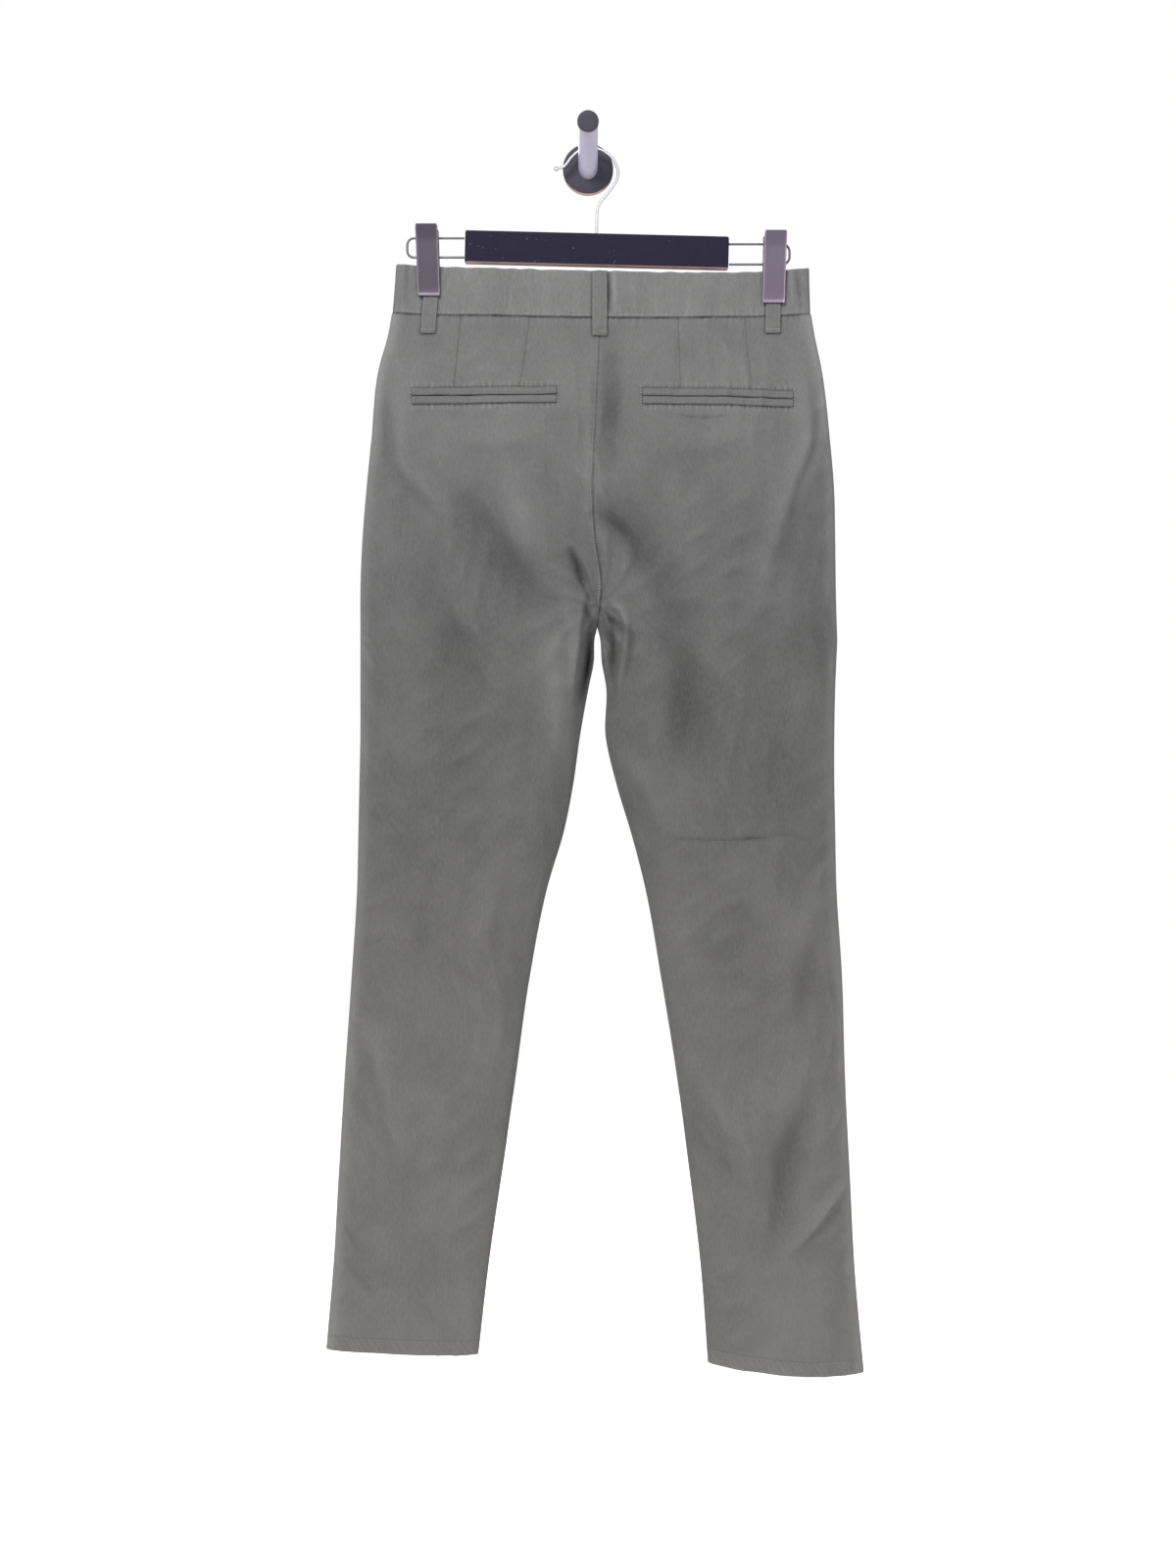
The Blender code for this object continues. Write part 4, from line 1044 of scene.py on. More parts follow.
def new_group(name, inputs, outputs):
    """A shader node group with its sockets: (name, kind, default) in, (name, kind) out."""
    old = bpy.data.node_groups.get(name)
    if old is not None:
        bpy.data.node_groups.remove(old)
    tree = bpy.data.node_groups.new(name, "ShaderNodeTree")
    for label, kind, default in inputs:
        socket = tree.interface.new_socket(label, in_out="INPUT", socket_type=f"NodeSocket{kind}")
        if default is not None:
            socket.default_value = default
    for label, kind in outputs:
        tree.interface.new_socket(label, in_out="OUTPUT", socket_type=f"NodeSocket{kind}")
    return tree, tree.nodes.new("NodeGroupInput"), tree.nodes.new("NodeGroupOutput")


def feed(tree, made, values):
    """Gives each named input of a node its plain value, or a link from a socket."""
    for name, value in values.items():
        if isinstance(value, bpy.types.NodeSocket):
            tree.links.new(value, made.inputs[name])
        else:
            made.inputs[name].default_value = value


def node(tree, kind, values=None, **settings):
    """A node with its settings and what goes into its inputs."""
    made = tree.nodes.new(kind)
    for name, value in settings.items():
        setattr(made, name, value)
    feed(tree, made, values or {})
    return made


def shade(tree, kind, values=None, **settings):
    return node(tree, "ShaderNode" + kind, values, **settings)


def calc(tree, operation, *values):
    """The output of a Math node that is fed by sockets or plain numbers."""
    return shade(tree, "Math", dict(enumerate(values)), operation=operation).outputs[0]


def scaled(tree, value, by, plus):
    return calc(tree, "MULTIPLY_ADD", value, by, plus)


# Twill: how far its ribs lean, the cross threads' and the slubs' share of its height
RIB_LEAN = -0.55
CROSS_SHARE = 0.3
SLUB_SCALE = 900.0
SLUB_SHARE = 1.2
WEAVE_HEIGHT = 0.25
WEAVE_BASE = 0.3
SMEAR_SCALE = 90.0

# What clouds, streaks and ribs add to the cloth's tone, and the painted warm bounce light that tints
# it towards the hems
PLAIN_TONE = 0.525
CLOUD_TONE = 0.4
STREAK_TONE = 0.5
RIB_TONE = 0.05
PAINTED_BOUNCE_FROM = -0.45
PAINTED_BOUNCE_TO = -1.05
PAINTED_BOUNCE_TINT = (1.02, 1.0, 0.95)
# Painted bounce light on the faces that look down
PAINTED_BOUNCE_RED = (0.95, 0.62, 0.56, 1.0)


def twill_group():
    """Diagonal ribs of a twill, crossed by its finer threads, from a flat map in metres."""
    tree, start, end = new_group(
        "Twill weave",
        (("Flat", "Vector", None), ("Pitch", "Float", 0.0011)),
        (("Height", "Float"), ("Tone", "Float")),
    )
    flat, pitch = start.outputs["Flat"], start.outputs["Pitch"]
    split = shade(tree, "SeparateXYZ", {0: flat})
    leant = scaled(tree, split.outputs["Y"], RIB_LEAN, split.outputs["X"])
    rib = calc(tree, "SINE", calc(tree, "MULTIPLY", calc(tree, "DIVIDE", leant, pitch), 2 * pi))
    cross = calc(tree, "DIVIDE", split.outputs["Y"], pitch)
    thread = calc(tree, "SINE", calc(tree, "MULTIPLY", cross, 4 * pi))
    woven = scaled(tree, thread, CROSS_SHARE, rib)
    slub = shade(tree, "TexNoise", {"Vector": flat, "Scale": SLUB_SCALE, "Detail": 2.0})
    rough = scaled(tree, slub.outputs["Fac"], SLUB_SHARE, woven)
    feed(tree, end, {
        "Height": scaled(tree, rough, WEAVE_HEIGHT, WEAVE_BASE),
        "Tone": scaled(tree, rib, 0.5, 0.5),
    })
    return tree


def noise(tree, place_on, size, detail, roughness):
    """A noise whose cells are as wide as size says, in metres."""
    scale = calc(tree, "DIVIDE", 1.0, size)
    values = {"Vector": place_on, "Scale": scale, "Detail": detail, "Roughness": roughness}
    return shade(tree, "TexNoise", values).outputs["Fac"]


def mottle_group():
    """Slow changes of tone, and fine streaks along the warp, from 0 to 1 round a half."""
    tree, start, end = new_group(
        "Cloth mottle",
        (
            ("Place", "Vector", None), ("Cloud size", "Float", 0.07),
            ("Streak width", "Float", 0.0016),
        ),
        (("Clouds", "Float"), ("Streaks", "Float")),
    )
    place_on = start.outputs["Place"]
    values = {0: place_on, 1: (1.0, 1.0, 0.3)}
    squeeze = shade(tree, "VectorMath", values, operation="MULTIPLY").outputs[0]
    feed(tree, end, {
        "Clouds": noise(tree, place_on, start.outputs["Cloud size"], 3.0, 0.55),
        "Streaks": noise(tree, squeeze, start.outputs["Streak width"], 2.0, 0.6),
    })
    return tree


def grain_group():
    """Fine lines of brushed metal along Z, with a few wider smears."""
    tree, start, end = new_group(
        "Brushed grain",
        (("Place", "Vector", None), ("Line width", "Float", 0.0004), ("Stretch", "Float", 0.04)),
        (("Lines", "Float"), ("Smears", "Float")),
    )
    place_on = start.outputs["Place"]
    values = {"X": 1.0, "Y": 1.0, "Z": start.outputs["Stretch"]}
    squeeze = shade(tree, "CombineXYZ", values).outputs[0]
    drawn = shade(tree, "VectorMath", {0: place_on, 1: squeeze}, operation="MULTIPLY")
    values = {"Vector": place_on, "Scale": SMEAR_SCALE, "Detail": 2.0}
    feed(tree, end, {
        "Lines": noise(tree, drawn.outputs[0], start.outputs["Line width"], 3.0, 0.6),
        "Smears": shade(tree, "TexNoise", values).outputs["Fac"],
    })
    return tree


def use_group(tree, name, build, values):
    """A shared effect in a material, laid out over the piece's own coordinates."""
    made = tree.nodes.new("ShaderNodeGroup")
    made.node_tree = bpy.data.node_groups.get(name) or build()
    feed(tree, made, values)
    return made.outputs


def own_place(tree):
    return shade(tree, "TexCoord").outputs["Object"]


# Reads the tone attribute: wear with painted light and painted shade
def painted(tree):
    return shade(tree, "Attribute", attribute_name="tone").outputs["Fac"]


def blank_material(name, colour, roughness, metallic=0.0, specular=0.5):
    """A fresh material with its shader's plain numbers set."""
    made = bpy.data.materials.get(name) or bpy.data.materials.new(name)
    made.use_nodes = True
    tree = made.node_tree
    tree.nodes.clear()
    shader = shade(tree, "BsdfPrincipled", {
        "Base Color": (*colour, 1.0), "Roughness": roughness, "Metallic": metallic,
        "Specular IOR Level": specular,
    })
    shade(tree, "OutputMaterial", {"Surface": shader.outputs["BSDF"]})
    made.diffuse_color = (*colour, 1.0)
    return made, tree, shader


def toned(tree, colour, factor):
    """A colour made lighter or darker by a value round 1."""
    values = {0: colour, "Scale": factor}
    return shade(tree, "VectorMath", values, operation="SCALE").outputs[0]


def blend(tree, factor, first, second):
    """The first colour where the factor is 0 and the second where it is 1."""
    values = {"Factor": factor, 6: first, 7: second}
    return shade(tree, "Mix", values, data_type="RGBA").outputs[2]


def painted_bounce_below(tree, colour):
    """The colour, with a painted pale red bounce light on the faces that look down."""
    shape = shade(tree, "NewGeometry")
    facing = shade(tree, "SeparateXYZ", {0: shape.outputs["Normal"]})
    values = {"Value": facing.outputs["Z"], "From Min": -0.45, "From Max": -0.85}
    below = shade(tree, "MapRange", values)
    return blend(tree, below.outputs["Result"], colour, PAINTED_BOUNCE_RED)


def bump(tree, height, strength, distance):
    values = {"Height": height, "Strength": strength, "Distance": distance}
    return shade(tree, "Bump", values).outputs["Normal"]


def twill_material(cloth, name="olive_twill_cloth", lift=1.0):
    """The olive twill: its ribs, streaks and clouds, and the painted light and shade, with wear, that
    each point's tone carries.
    """
    # A lift above 1 makes a lighter copy of the same twill: painted light
    colour = [channel * lift for channel in cloth.colour]
    made, tree, shader = blank_material(name, colour, 0.88, specular=0.25)
    feed(tree, shader, {"Sheen Weight": 0.12, "Sheen Roughness": 0.45})
    flat = shade(tree, "UVMap", uv_map="cloth").outputs["UV"]
    place_on = own_place(tree)
    weave = use_group(tree, "Twill weave", twill_group, {"Flat": flat, "Pitch": cloth.twill_pitch})
    mottle = use_group(tree, "Cloth mottle", mottle_group, {"Place": place_on})
    tone = scaled(tree, mottle["Clouds"], CLOUD_TONE, PLAIN_TONE)
    tone = scaled(tree, mottle["Streaks"], STREAK_TONE, tone)
    tone = scaled(tree, weave["Tone"], RIB_TONE, tone)
    tone = calc(tree, "ADD", painted(tree), tone)
    # Painted warm bounce light, rising towards the hems
    height = shade(tree, "SeparateXYZ", {0: place_on}).outputs["Z"]
    values = {"Value": height, "From Min": PAINTED_BOUNCE_FROM, "From Max": PAINTED_BOUNCE_TO}
    low = shade(tree, "MapRange", values).outputs["Result"]
    bounce_lit = (*(channel * warmth for channel, warmth in zip(colour, PAINTED_BOUNCE_TINT)), 1.0)
    coloured = blend(tree, low, (*colour, 1.0), bounce_lit)
    feed(tree, shader, {
        "Base Color": toned(tree, coloured, tone),
        "Normal": bump(tree, weave["Height"], 0.35, 0.00025),
    })
    return made


def thread_material(cloth):
    """Cotton thread, twisted, a little paler than the cloth."""
    made, tree, shader = blank_material("olive_thread", cloth.thread_colour, 0.8)
    values = {"Place": own_place(tree), "Cloud size": 0.02, "Streak width": 0.0004}
    mottle = use_group(tree, "Cloth mottle", mottle_group, values)
    tone = scaled(tree, mottle["Clouds"], 0.3, 0.85)
    feed(tree, shader, {
        "Sheen Weight": 0.1,
        "Base Color": toned(tree, tuple(cloth.thread_colour), tone),
        "Normal": bump(tree, mottle["Streaks"], 0.3, 0.0001),
    })
    return made


def metal_material(name, colour, roughness, metallic, line_width, stretch, depth, warm=False):
    """Brushed or satin metal: fine lines in its gloss, smears where hands touch it, the painted light
    of a piece's tone, and a painted bounce light below when asked.
    """
    made, tree, shader = blank_material(name, colour, roughness, metallic)
    values = {"Place": own_place(tree), "Line width": line_width, "Stretch": stretch}
    grain = use_group(tree, "Brushed grain", grain_group, values)
    tone = scaled(tree, grain["Lines"], 0.16, 0.92)
    shown = toned(tree, tuple(colour), calc(tree, "ADD", painted(tree), tone))
    feed(tree, shader, {
        "Base Color": painted_bounce_below(tree, shown) if warm else shown,
        "Roughness": scaled(tree, grain["Smears"], 0.2, roughness - 0.1),
        "Normal": bump(tree, grain["Lines"], 0.25, depth),
    })
    return made


def bar_material(hanger):
    """Blue-black lacquer with a faint grain under it, specks of dust over it, and a painted red bounce
    light on its lower faces.
    """
    made, tree, shader = blank_material("black_lacquer", hanger.bar_colour, 0.55, specular=0.15)
    place_on = own_place(tree)
    values = {"Vector": place_on, "Rotation": (0.0, pi / 2.0, 0.0)}
    turned = shade(tree, "Mapping", values).outputs["Vector"]
    values = {"Place": turned, "Line width": 0.0012}
    grain = use_group(tree, "Brushed grain", grain_group, values)
    values = {"Vector": place_on, "Scale": 420.0, "Detail": 1.0}
    specks = shade(tree, "TexNoise", values).outputs["Fac"]
    values = {"Value": specks, "From Min": 0.745, "From Max": 0.8, "To Max": 9.0}
    dust = shade(tree, "MapRange", values).outputs["Result"]
    tone = calc(tree, "ADD", scaled(tree, grain["Lines"], 0.3, 0.85), dust)
    feed(tree, shader, {
        "Base Color": painted_bounce_below(tree, toned(tree, tuple(hanger.bar_colour), tone)),
        "Roughness": scaled(tree, grain["Smears"], 0.25, 0.42),
        "Normal": bump(tree, grain["Lines"], 0.2, 0.00015),
    })
    return made


def button_material(cloth):
    """Dark horn with cloudy streaks under a polish."""
    made, tree, shader = blank_material("dark_horn", cloth.button_colour, 0.35)
    values = {"Place": own_place(tree), "Cloud size": 0.006}
    mottle = use_group(tree, "Cloth mottle", mottle_group, values)
    tone = scaled(tree, mottle["Clouds"], 1.4, 0.3)
    feed(tree, shader, {
        "Base Color": toned(tree, tuple(cloth.button_colour), tone),
        "Roughness": scaled(tree, mottle["Streaks"], 0.2, 0.25),
    })
    return made


def bright_wire(hanger):
    """Bright round wire with a painted reflection: white where it faces the eye, painted dark violet
    along both edges.
    """
    colour = hanger.wire_colour
    made, tree, shader = blank_material("bright_steel_wire", colour, 0.45, 0.15, 0.12)
    towards = shade(tree, "LayerWeight", {"Blend": 0.5}).outputs["Facing"]
    values = {"Value": towards, "From Min": 0.22, "From Max": 0.5}
    edge = shade(tree, "MapRange", values).outputs["Result"]
    dark = (*(channel * WIRE_PAINTED_EDGE for channel in colour), 1.0)
    values = {"Place": own_place(tree), "Line width": 0.02}
    grain = use_group(tree, "Brushed grain", grain_group, values)
    feed(tree, shader, {
        "Base Color": blend(tree, edge, (*colour, 1.0), dark),
        "Roughness": scaled(tree, grain["Smears"], 0.1, 0.4),
    })
    return made


def clip_steel(hanger):
    return metal_material("satin_clip_steel", hanger.clip_colour, 0.5, 0.6, 0.0007, 0.05, 0.00004)


def rail_wire(hanger):
    # A darker copy of the bright wire: painted shade
    dark = [channel * RAIL_PAINTED_SHADE for channel in hanger.wire_colour]
    return metal_material("dark_rail_wire", dark, 0.5, 0.8, 0.003, 0.3, 0.0)


def disc_dark(hanger):
    colour = hanger.disc_colour
    # The disc and the cap get a painted bounce light on their lower faces
    return metal_material("dark_satin_disc", colour, 0.55, 0.0, 0.0009, 1.0, 0.00004, warm=True)


def post_satin(hanger):
    return metal_material("satin_post", hanger.post_colour, 0.6, 0.75, 0.0006, 0.08, 0.00004)


# ---------------------------------------------------------------------- cloth pieces

def make_panels(cloth):
    finish = twill_material(cloth)
    for name, (side, face, replaced) in PANELS.items():
        points, heights, tone = panel_points(side, face, cloth)
        inside = panel_inside(points, heights, face, cloth.wall / MM, cloth.hem_depth / MM)
        mesh = wall_mesh(name, points, inside, tone, coarse=2)
        place(name, mesh, finish, [f"{replaced}_seat", f"{replaced}_leg"])


def band_path(side, step=1.5):
    """One half of the waistband from the centre back, round the side, to the closing."""
    sign = -1.0 if side == "left" else 1.0
    fold_x = BAND_SEAM_SIDES[0 if side == "left" else 1]
    centre = TRUNK[0].seam + sign * CLOTH_GAP / 2.0
    closing = CLOSING_X + (0.0 if side == "left" else SEAM_GAP)
    turn = fold_x - sign * SIDE_RADIUS * (1.0 - np.cos(np.radians(np.linspace(0.0, 75.0, 8))))
    turn_end = turn[-1]
    back_count = int(abs(turn_end - centre) / step)
    front_count = int(abs(turn_end - closing) / step)
    back_run = np.linspace(centre, turn_end, back_count + 1)
    front_run = np.linspace(turn_end, closing, front_count + 1)
    x = np.concatenate([back_run, turn[-2::-1], turn[1:], front_run[1:]])
    facing = np.where(np.arange(len(x)) < len(back_run) + len(turn) - 1, -1.0, 1.0)
    half = waist_half_depth(x, np.abs(x - fold_x))
    return x, HANGER_Y + facing * half, facing


def free_of_clips(x):
    """0 under a clip's jaws, where the cloth is held flat, and 1 away from them."""
    free = np.ones_like(x)
    for clip in CLIPS.values():
        free *= ease((np.abs(x - clip.x_foot) - CLIP_WIDTH / 2.0) / 12.0)
    return free


def band_points(side):
    """Outer points of half a waistband, row by row from its top edge to its seam."""
    x, y, facing = band_path(side)
    edge = 0 if side == "left" else 1
    middle = TRUNK[0].seam
    pull = (BAND_TOP_SIDES[edge] - middle) / (BAND_SEAM_SIDES[edge] - middle)
    head, foot = [0.0, 0.012, 0.035, 0.07], [0.965, 0.985, 1.0]
    shares = np.concatenate([head, np.linspace(0.11, 0.93, 18), foot])
    along = np.concatenate([[0.0], np.hypot(np.diff(x), np.diff(y)).cumsum()])
    rows, tones = [], []
    for share in shares:
        width = pull + (1.0 - pull) * share
        row_x = between(middle, x, width)
        high = smooth(BAND_TOP, "x", "z", row_x)
        high = high + 0.45 * uneven_wave(along, 21.0, 0.6) * free_of_clips(row_x)
        low = smooth(BAND_SEAM, "x", "z", row_x) + CLOTH_GAP / 2.0
        height = high - low
        from_top = share * height
        from_seam = (1.0 - share) * height
        relief = -0.9 * quarter(from_top / 1.6) - 0.7 * quarter(from_seam / 1.1)
        puckers = puckered(BAND_FOOT, from_seam, along) + puckered(BAND_HEAD, from_top, along)
        slack = 0.8 * uneven_wave(along + 9.0 * share, 34.0, 1.1)
        creased = np.zeros_like(x)
        for crease in BAND_CREASES:
            span = np.clip((share - crease.top) / (crease.low - crease.top), 0.0, 1.0)
            at = crease.x + crease.lean * (share - 0.5)
            taper = np.sin(pi * span) ** 0.6
            creased += 1.5 * crease.height * taper * slope_in(row_x - at, crease.width)
        creased = np.where(facing < 0, creased, 0.4 * creased)
        relief = relief + (puckers + slack + creased) * free_of_clips(row_x)
        rows.append(np.stack([row_x, y, high - share * height, relief], axis=-1))
        # Wear and painted highlights on puckers, creases and edges, painted shade in the seam and the
        # creases
        wear_and_highlight = np.maximum(0.0, puckers) * 1.2 + np.maximum(0.0, creased) * 0.28
        wear_and_highlight = wear_and_highlight + 0.35 * slope_in(from_seam - 2.0, 0.9)
        shade = 0.8 * slope_in(from_seam, 1.1) - np.minimum(0.0, creased) * 0.45
        shade = shade + np.where(facing < 0, loop_shade(row_x, high - share * height), 0.0)
        tones.append(tone_of(wear_and_highlight + 0.35 * slope_in(from_top, 1.4), shade))
    grid = np.array(rows)
    base = grid[..., :3]
    normal = outward(base, (base - (0.0, HANGER_Y, 0.0)) * (0.0, 1.0, 0.0))
    normal[..., 2] = 0.0
    normal[:, (0, -1), 0] = 0.0
    normal = unit(normal)
    return base + normal * grid[..., 3:], normal, np.array(tones)


def make_bands(cloth):
    # The band is a lighter copy of the twill: painted light
    finish = twill_material(cloth, "olive_twill_band", 1.3)
    for name, (side, replaced) in BANDS.items():
        points, normal, tone = band_points(side)
        inside = points - normal * cloth.band_wall / MM
        mesh = wall_mesh(name, points, inside, tone)
        place(name, mesh, finish, [replaced])


def quarter(t):
    """How far a rounded edge has dropped: 1 at the edge, where t is 0, and 0 from t = 1 on."""
    return 1.0 - np.sqrt(1.0 - (1.0 - np.clip(t, 0.0, 1.0)) ** 2)


def rounded(share, inset, drop):
    """How far a strip's surface drops near its two long edges, share running 0 to 1."""
    return -drop * quarter(np.minimum(share, 1.0 - share) / inset)


def patch_mesh(name, surfaces, xs, zs, facing, lift, wall, relief, tone=None, reach=1.0):
    """A piece that lies on the cloth: the cloth's points moved out, with its own relief."""
    base = np.zeros(xs.shape)
    for spot in np.ndindex(xs.shape):
        base[spot] = cloth_y(surfaces, xs[spot], zs[spot], facing, reach)
    inside = np.stack([xs, base + facing * lift, zs], axis=-1)
    outside = np.stack([xs, base + facing * (lift + wall + relief), zs], axis=-1)
    return wall_mesh(name, outside, inside, tone)


def make_loops(cloth):
    """Belt loops: folded strips with a row of stitches near each edge."""
    surfaces = surface_of(*ALL_CLOTH)
    # The loops are a lighter copy of the twill: painted light
    finish = twill_material(cloth, "olive_twill_loop", 1.18)
    for replaced, loop in LOOPS.items():
        top_z = float(smooth(BAND_TOP, "x", "z", np.array(loop.x_top))) - 0.4
        down = evenly(47)
        across = evenly(19)
        z = between(top_z, loop.z_low, down)
        middle = between(loop.x_top, loop.x_low, down)
        xs = middle[:, None] + (across - 0.5) * LOOP_WIDTH
        zs = np.tile(z[:, None], (1, len(across)))
        bulge = loop.bulge * np.sin(pi * down)[:, None]
        wall = cloth.loop_wall / MM
        seams = slope_in(across - 0.13, 0.05) + slope_in(across - 0.87, 0.05)
        relief = rounded(across, 0.07, 0.55) + rounded(down, 0.012, 0.5)[:, None]
        relief = relief - 0.22 * seams
        edges = slope_in(across, 0.07) + slope_in(across - 1.0, 0.07)
        ticks = edges * uneven_wave(z, 4.6, 0.5)[:, None]
        # Wear and painted highlights along the edges and stitches, painted shade in the seams
        wear_and_highlight = 0.55 * edges + 0.6 * np.maximum(0.0, ticks)
        tone = tone_of(wear_and_highlight, 0.3 * seams)
        relief = relief + 0.1 * ticks
        name = replaced.replace("belt_loop", "cloth_loop")
        mesh = patch_mesh(
            name, surfaces, xs, zs, loop.facing, 0.4 + bulge, wall, relief, tone, reach=1.5
        )
        place(name, mesh, finish, [replaced])


def make_welts(cloth):
    """Each pocket's two welts, folded at the slit and sewn down at their outer edge."""
    # The welts are a lighter copy of the twill: painted light
    finish = twill_material(cloth, "olive_twill_welt", 1.05)
    for pocket, welt in WELTS.items():
        surfaces = surface_of(welt.panel)
        for part, upward in (("upper", 1.0), ("lower", -1.0)):
            share = evenly(97)
            out = np.concatenate([[0.0, 0.03, 0.08], np.linspace(0.15, 0.9, 7), [0.96, 1.0]])
            slit = between(welt.z0, welt.z1, share) + upward * SEAM_GAP / 2.0
            xs = np.tile(between(welt.x0, welt.x1, share), (len(out), 1))
            sag = 0.35 * uneven_wave(xs[0], 37.0, upward) * np.sin(pi * share)
            zs = slit + upward * WELT_HEIGHT * out[:, None]
            zs = zs + (sag * (1.0 - 0.6 * upward)) * (1.0 - out[:, None]) * 0.5
            fold = 0.75 * quarter(out / 0.14)
            sewn = 0.5 * ease((out - 0.75) / 0.25)
            ripple = 0.16 * out[:, None] * uneven_wave(xs[0], 5.2, 0.4)
            ends = rounded(share, 0.008, 0.4)
            relief = ripple + ends - fold[:, None] - sewn[:, None]
            # Wear and painted highlights on the ripples and the fold, painted shade at the slit and
            # the sewn edge
            wear_and_highlight = np.maximum(0.0, ripple) * 2.0 + 0.35 * slope_in(out - 0.14, 0.08)[:, None]
            shade = 1.3 * slope_in(out, 0.12) + 0.8 * slope_in(out - 1.0, 0.09)
            tone = tone_of(wear_and_highlight, np.tile(shade[:, None], (1, len(share))))
            name = f"cloth_{pocket}_{part}_welt"
            mesh = patch_mesh(name, surfaces, xs, zs, -1, 0.25, 1.15, relief, tone)
            place(name, mesh, finish, [f"{pocket}_{part}_welt"])


def dart_line(dart):
    share = evenly(60)
    x = between(dart.x_top, dart.x_low, share)
    return x, between(dart.z_top, dart.z_low, share)


def make_darts(cloth):
    """The thin raised edge of each dart, where the cloth folds over its own seam."""
    # The darts' raised edges are a lighter copy of the twill: painted highlight
    finish = twill_material(cloth, "olive_twill_dart", 1.2)
    for number, dart in enumerate(DARTS, start=1):
        surfaces = surface_of(dart.panel)
        x, z = dart_line(dart)
        across = np.array([-0.8, -0.5, -0.15, 0.2, 0.45, 0.55])
        edge = np.array([-0.1, 0.14, 0.3, 0.42, 0.4, -0.1])
        wide = 0.35 + 0.65 * ease((z - dart.z_low) / 12.0)
        xs = x[:, None] + across * wide[:, None]
        zs = np.tile(z[:, None], (1, len(across)))
        relief = edge * (1.0 + 0.25 * uneven_wave(z, 5.0, number)[:, None])
        name = f"cloth_dart_{number}"
        mesh = patch_mesh(name, surfaces, xs, zs, -1, -0.45, 0.45, relief, reach=0.0)
        place(name, mesh, finish)


def fly_outline(share):
    """Heights down the fly, its edge by the centre seam and its curved outer edge."""
    z = BAND_SEAM[2].z - FLY_INSET - FLY_LENGTH * share
    curve = np.clip(FLY_LENGTH * (1.0 - share) / FLY_CURVE, 0.0, 1.0)
    width = FLY_FOOT + (FLY_WIDTH - FLY_FOOT) * np.sqrt(1.0 - (1.0 - curve) ** 2)
    return z, smooth(TRUNK, "z", "seam", z) - FLY_INSET, width


def make_fly(cloth):
    """The fly's facing, which shows as a raised strip beside the front centre seam."""
    share = evenly(73)
    across = evenly(19)
    z, inner, width = fly_outline(share)
    xs = inner[:, None] - width[:, None] * across
    zs = np.tile(z[:, None], (1, len(across)))
    relief = rounded(across, 0.05, 0.6) + rounded(share, 0.012, 0.6)[:, None]
    relief = relief + 0.12 * slope_in(across - 1.0, 0.2) * uneven_wave(z, 6.0)[:, None]
    surfaces = surface_of("cloth_front_left")
    mesh = patch_mesh("cloth_fly", surfaces, xs, zs, 1, 0.3, 1.1, relief)
    place("cloth_fly", mesh, twill_material(cloth), ["fly"])


# ----------------------------------------------------------------------------- sewing


def stitch_tree():
    """Stitches laid end to end along every run of the mesh's edges."""
    tree = bpy.data.node_groups.new("Stitch runs", "GeometryNodeTree")
    tree.is_modifier = True
    face = tree.interface
    face.new_socket("Runs", in_out="INPUT", socket_type="NodeSocketGeometry")
    sockets = {}
    for label, kind, default in (
        ("Stitch length", "Float", 0.003), ("Share of gap", "Float", 0.22),
        ("Thread width", "Float", 0.0006), ("Unevenness", "Float", 0.12),
        ("Seed", "Int", SEED), ("Thread", "Material", None),
    ):
        socket = face.new_socket(label, in_out="INPUT", socket_type=f"NodeSocket{kind}")
        if default is not None:
            socket.default_value = default
        sockets[label] = socket.identifier
    face.new_socket("Stitches", in_out="OUTPUT", socket_type="NodeSocketGeometry")
    given = tree.nodes.new("NodeGroupInput").outputs
    end = tree.nodes.new("NodeGroupOutput")

    def made(kind, output, values=None, **settings):
        return node(tree, kind, values, **settings).outputs[output]

    runs = made("GeometryNodeMeshToCurve", "Curve", {"Mesh": given["Runs"]})
    even = {"Curve": runs, "Length": given["Stitch length"]}
    even = made("GeometryNodeResampleCurve", "Curve", even, mode="LENGTH")
    along = made("GeometryNodeInputTangent", "Tangent")
    turn = made("FunctionNodeAlignRotationToVector", "Rotation", {"Vector": along}, axis="X")

    covered = calc(tree, "SUBTRACT", 1.0, given["Share of gap"])
    half = calc(tree, "MULTIPLY", calc(tree, "MULTIPLY", given["Stitch length"], covered), 0.5)
    thin = calc(tree, "MULTIPLY", given["Thread width"], 0.5)
    size = made("ShaderNodeCombineXYZ", "Vector", {"X": half, "Y": thin, "Z": thin})
    bead = made("GeometryNodeMeshUVSphere", "Mesh", {"Segments": 6, "Rings": 5, "Radius": 1.0})
    lying = {"Geometry": bead, "Rotation": (0.0, pi / 2.0, 0.0)}
    lying = made("GeometryNodeTransform", "Geometry", lying)
    stitch = made("GeometryNodeTransform", "Geometry", {"Geometry": lying, "Scale": size})

    less = calc(tree, "SUBTRACT", 1.0, given["Unevenness"])
    chance = {0: less, 1: (1.0, 1.0, 1.0), "Seed": given["Seed"]}
    chance = made("FunctionNodeRandomValue", "Value", chance, data_type="FLOAT_VECTOR")
    laid = {"Points": even, "Instance": stitch, "Rotation": turn, "Scale": chance}
    laid = made("GeometryNodeInstanceOnPoints", "Instances", laid)
    real = made("GeometryNodeRealizeInstances", "Geometry", {"Geometry": laid})
    soft = made("GeometryNodeSetShadeSmooth", "Geometry", {"Geometry": real})
    coloured = {"Geometry": soft, "Material": given["Thread"]}
    feed(tree, end, {"Stitches": made("GeometryNodeSetMaterial", "Geometry", coloured)})
    return tree, sockets


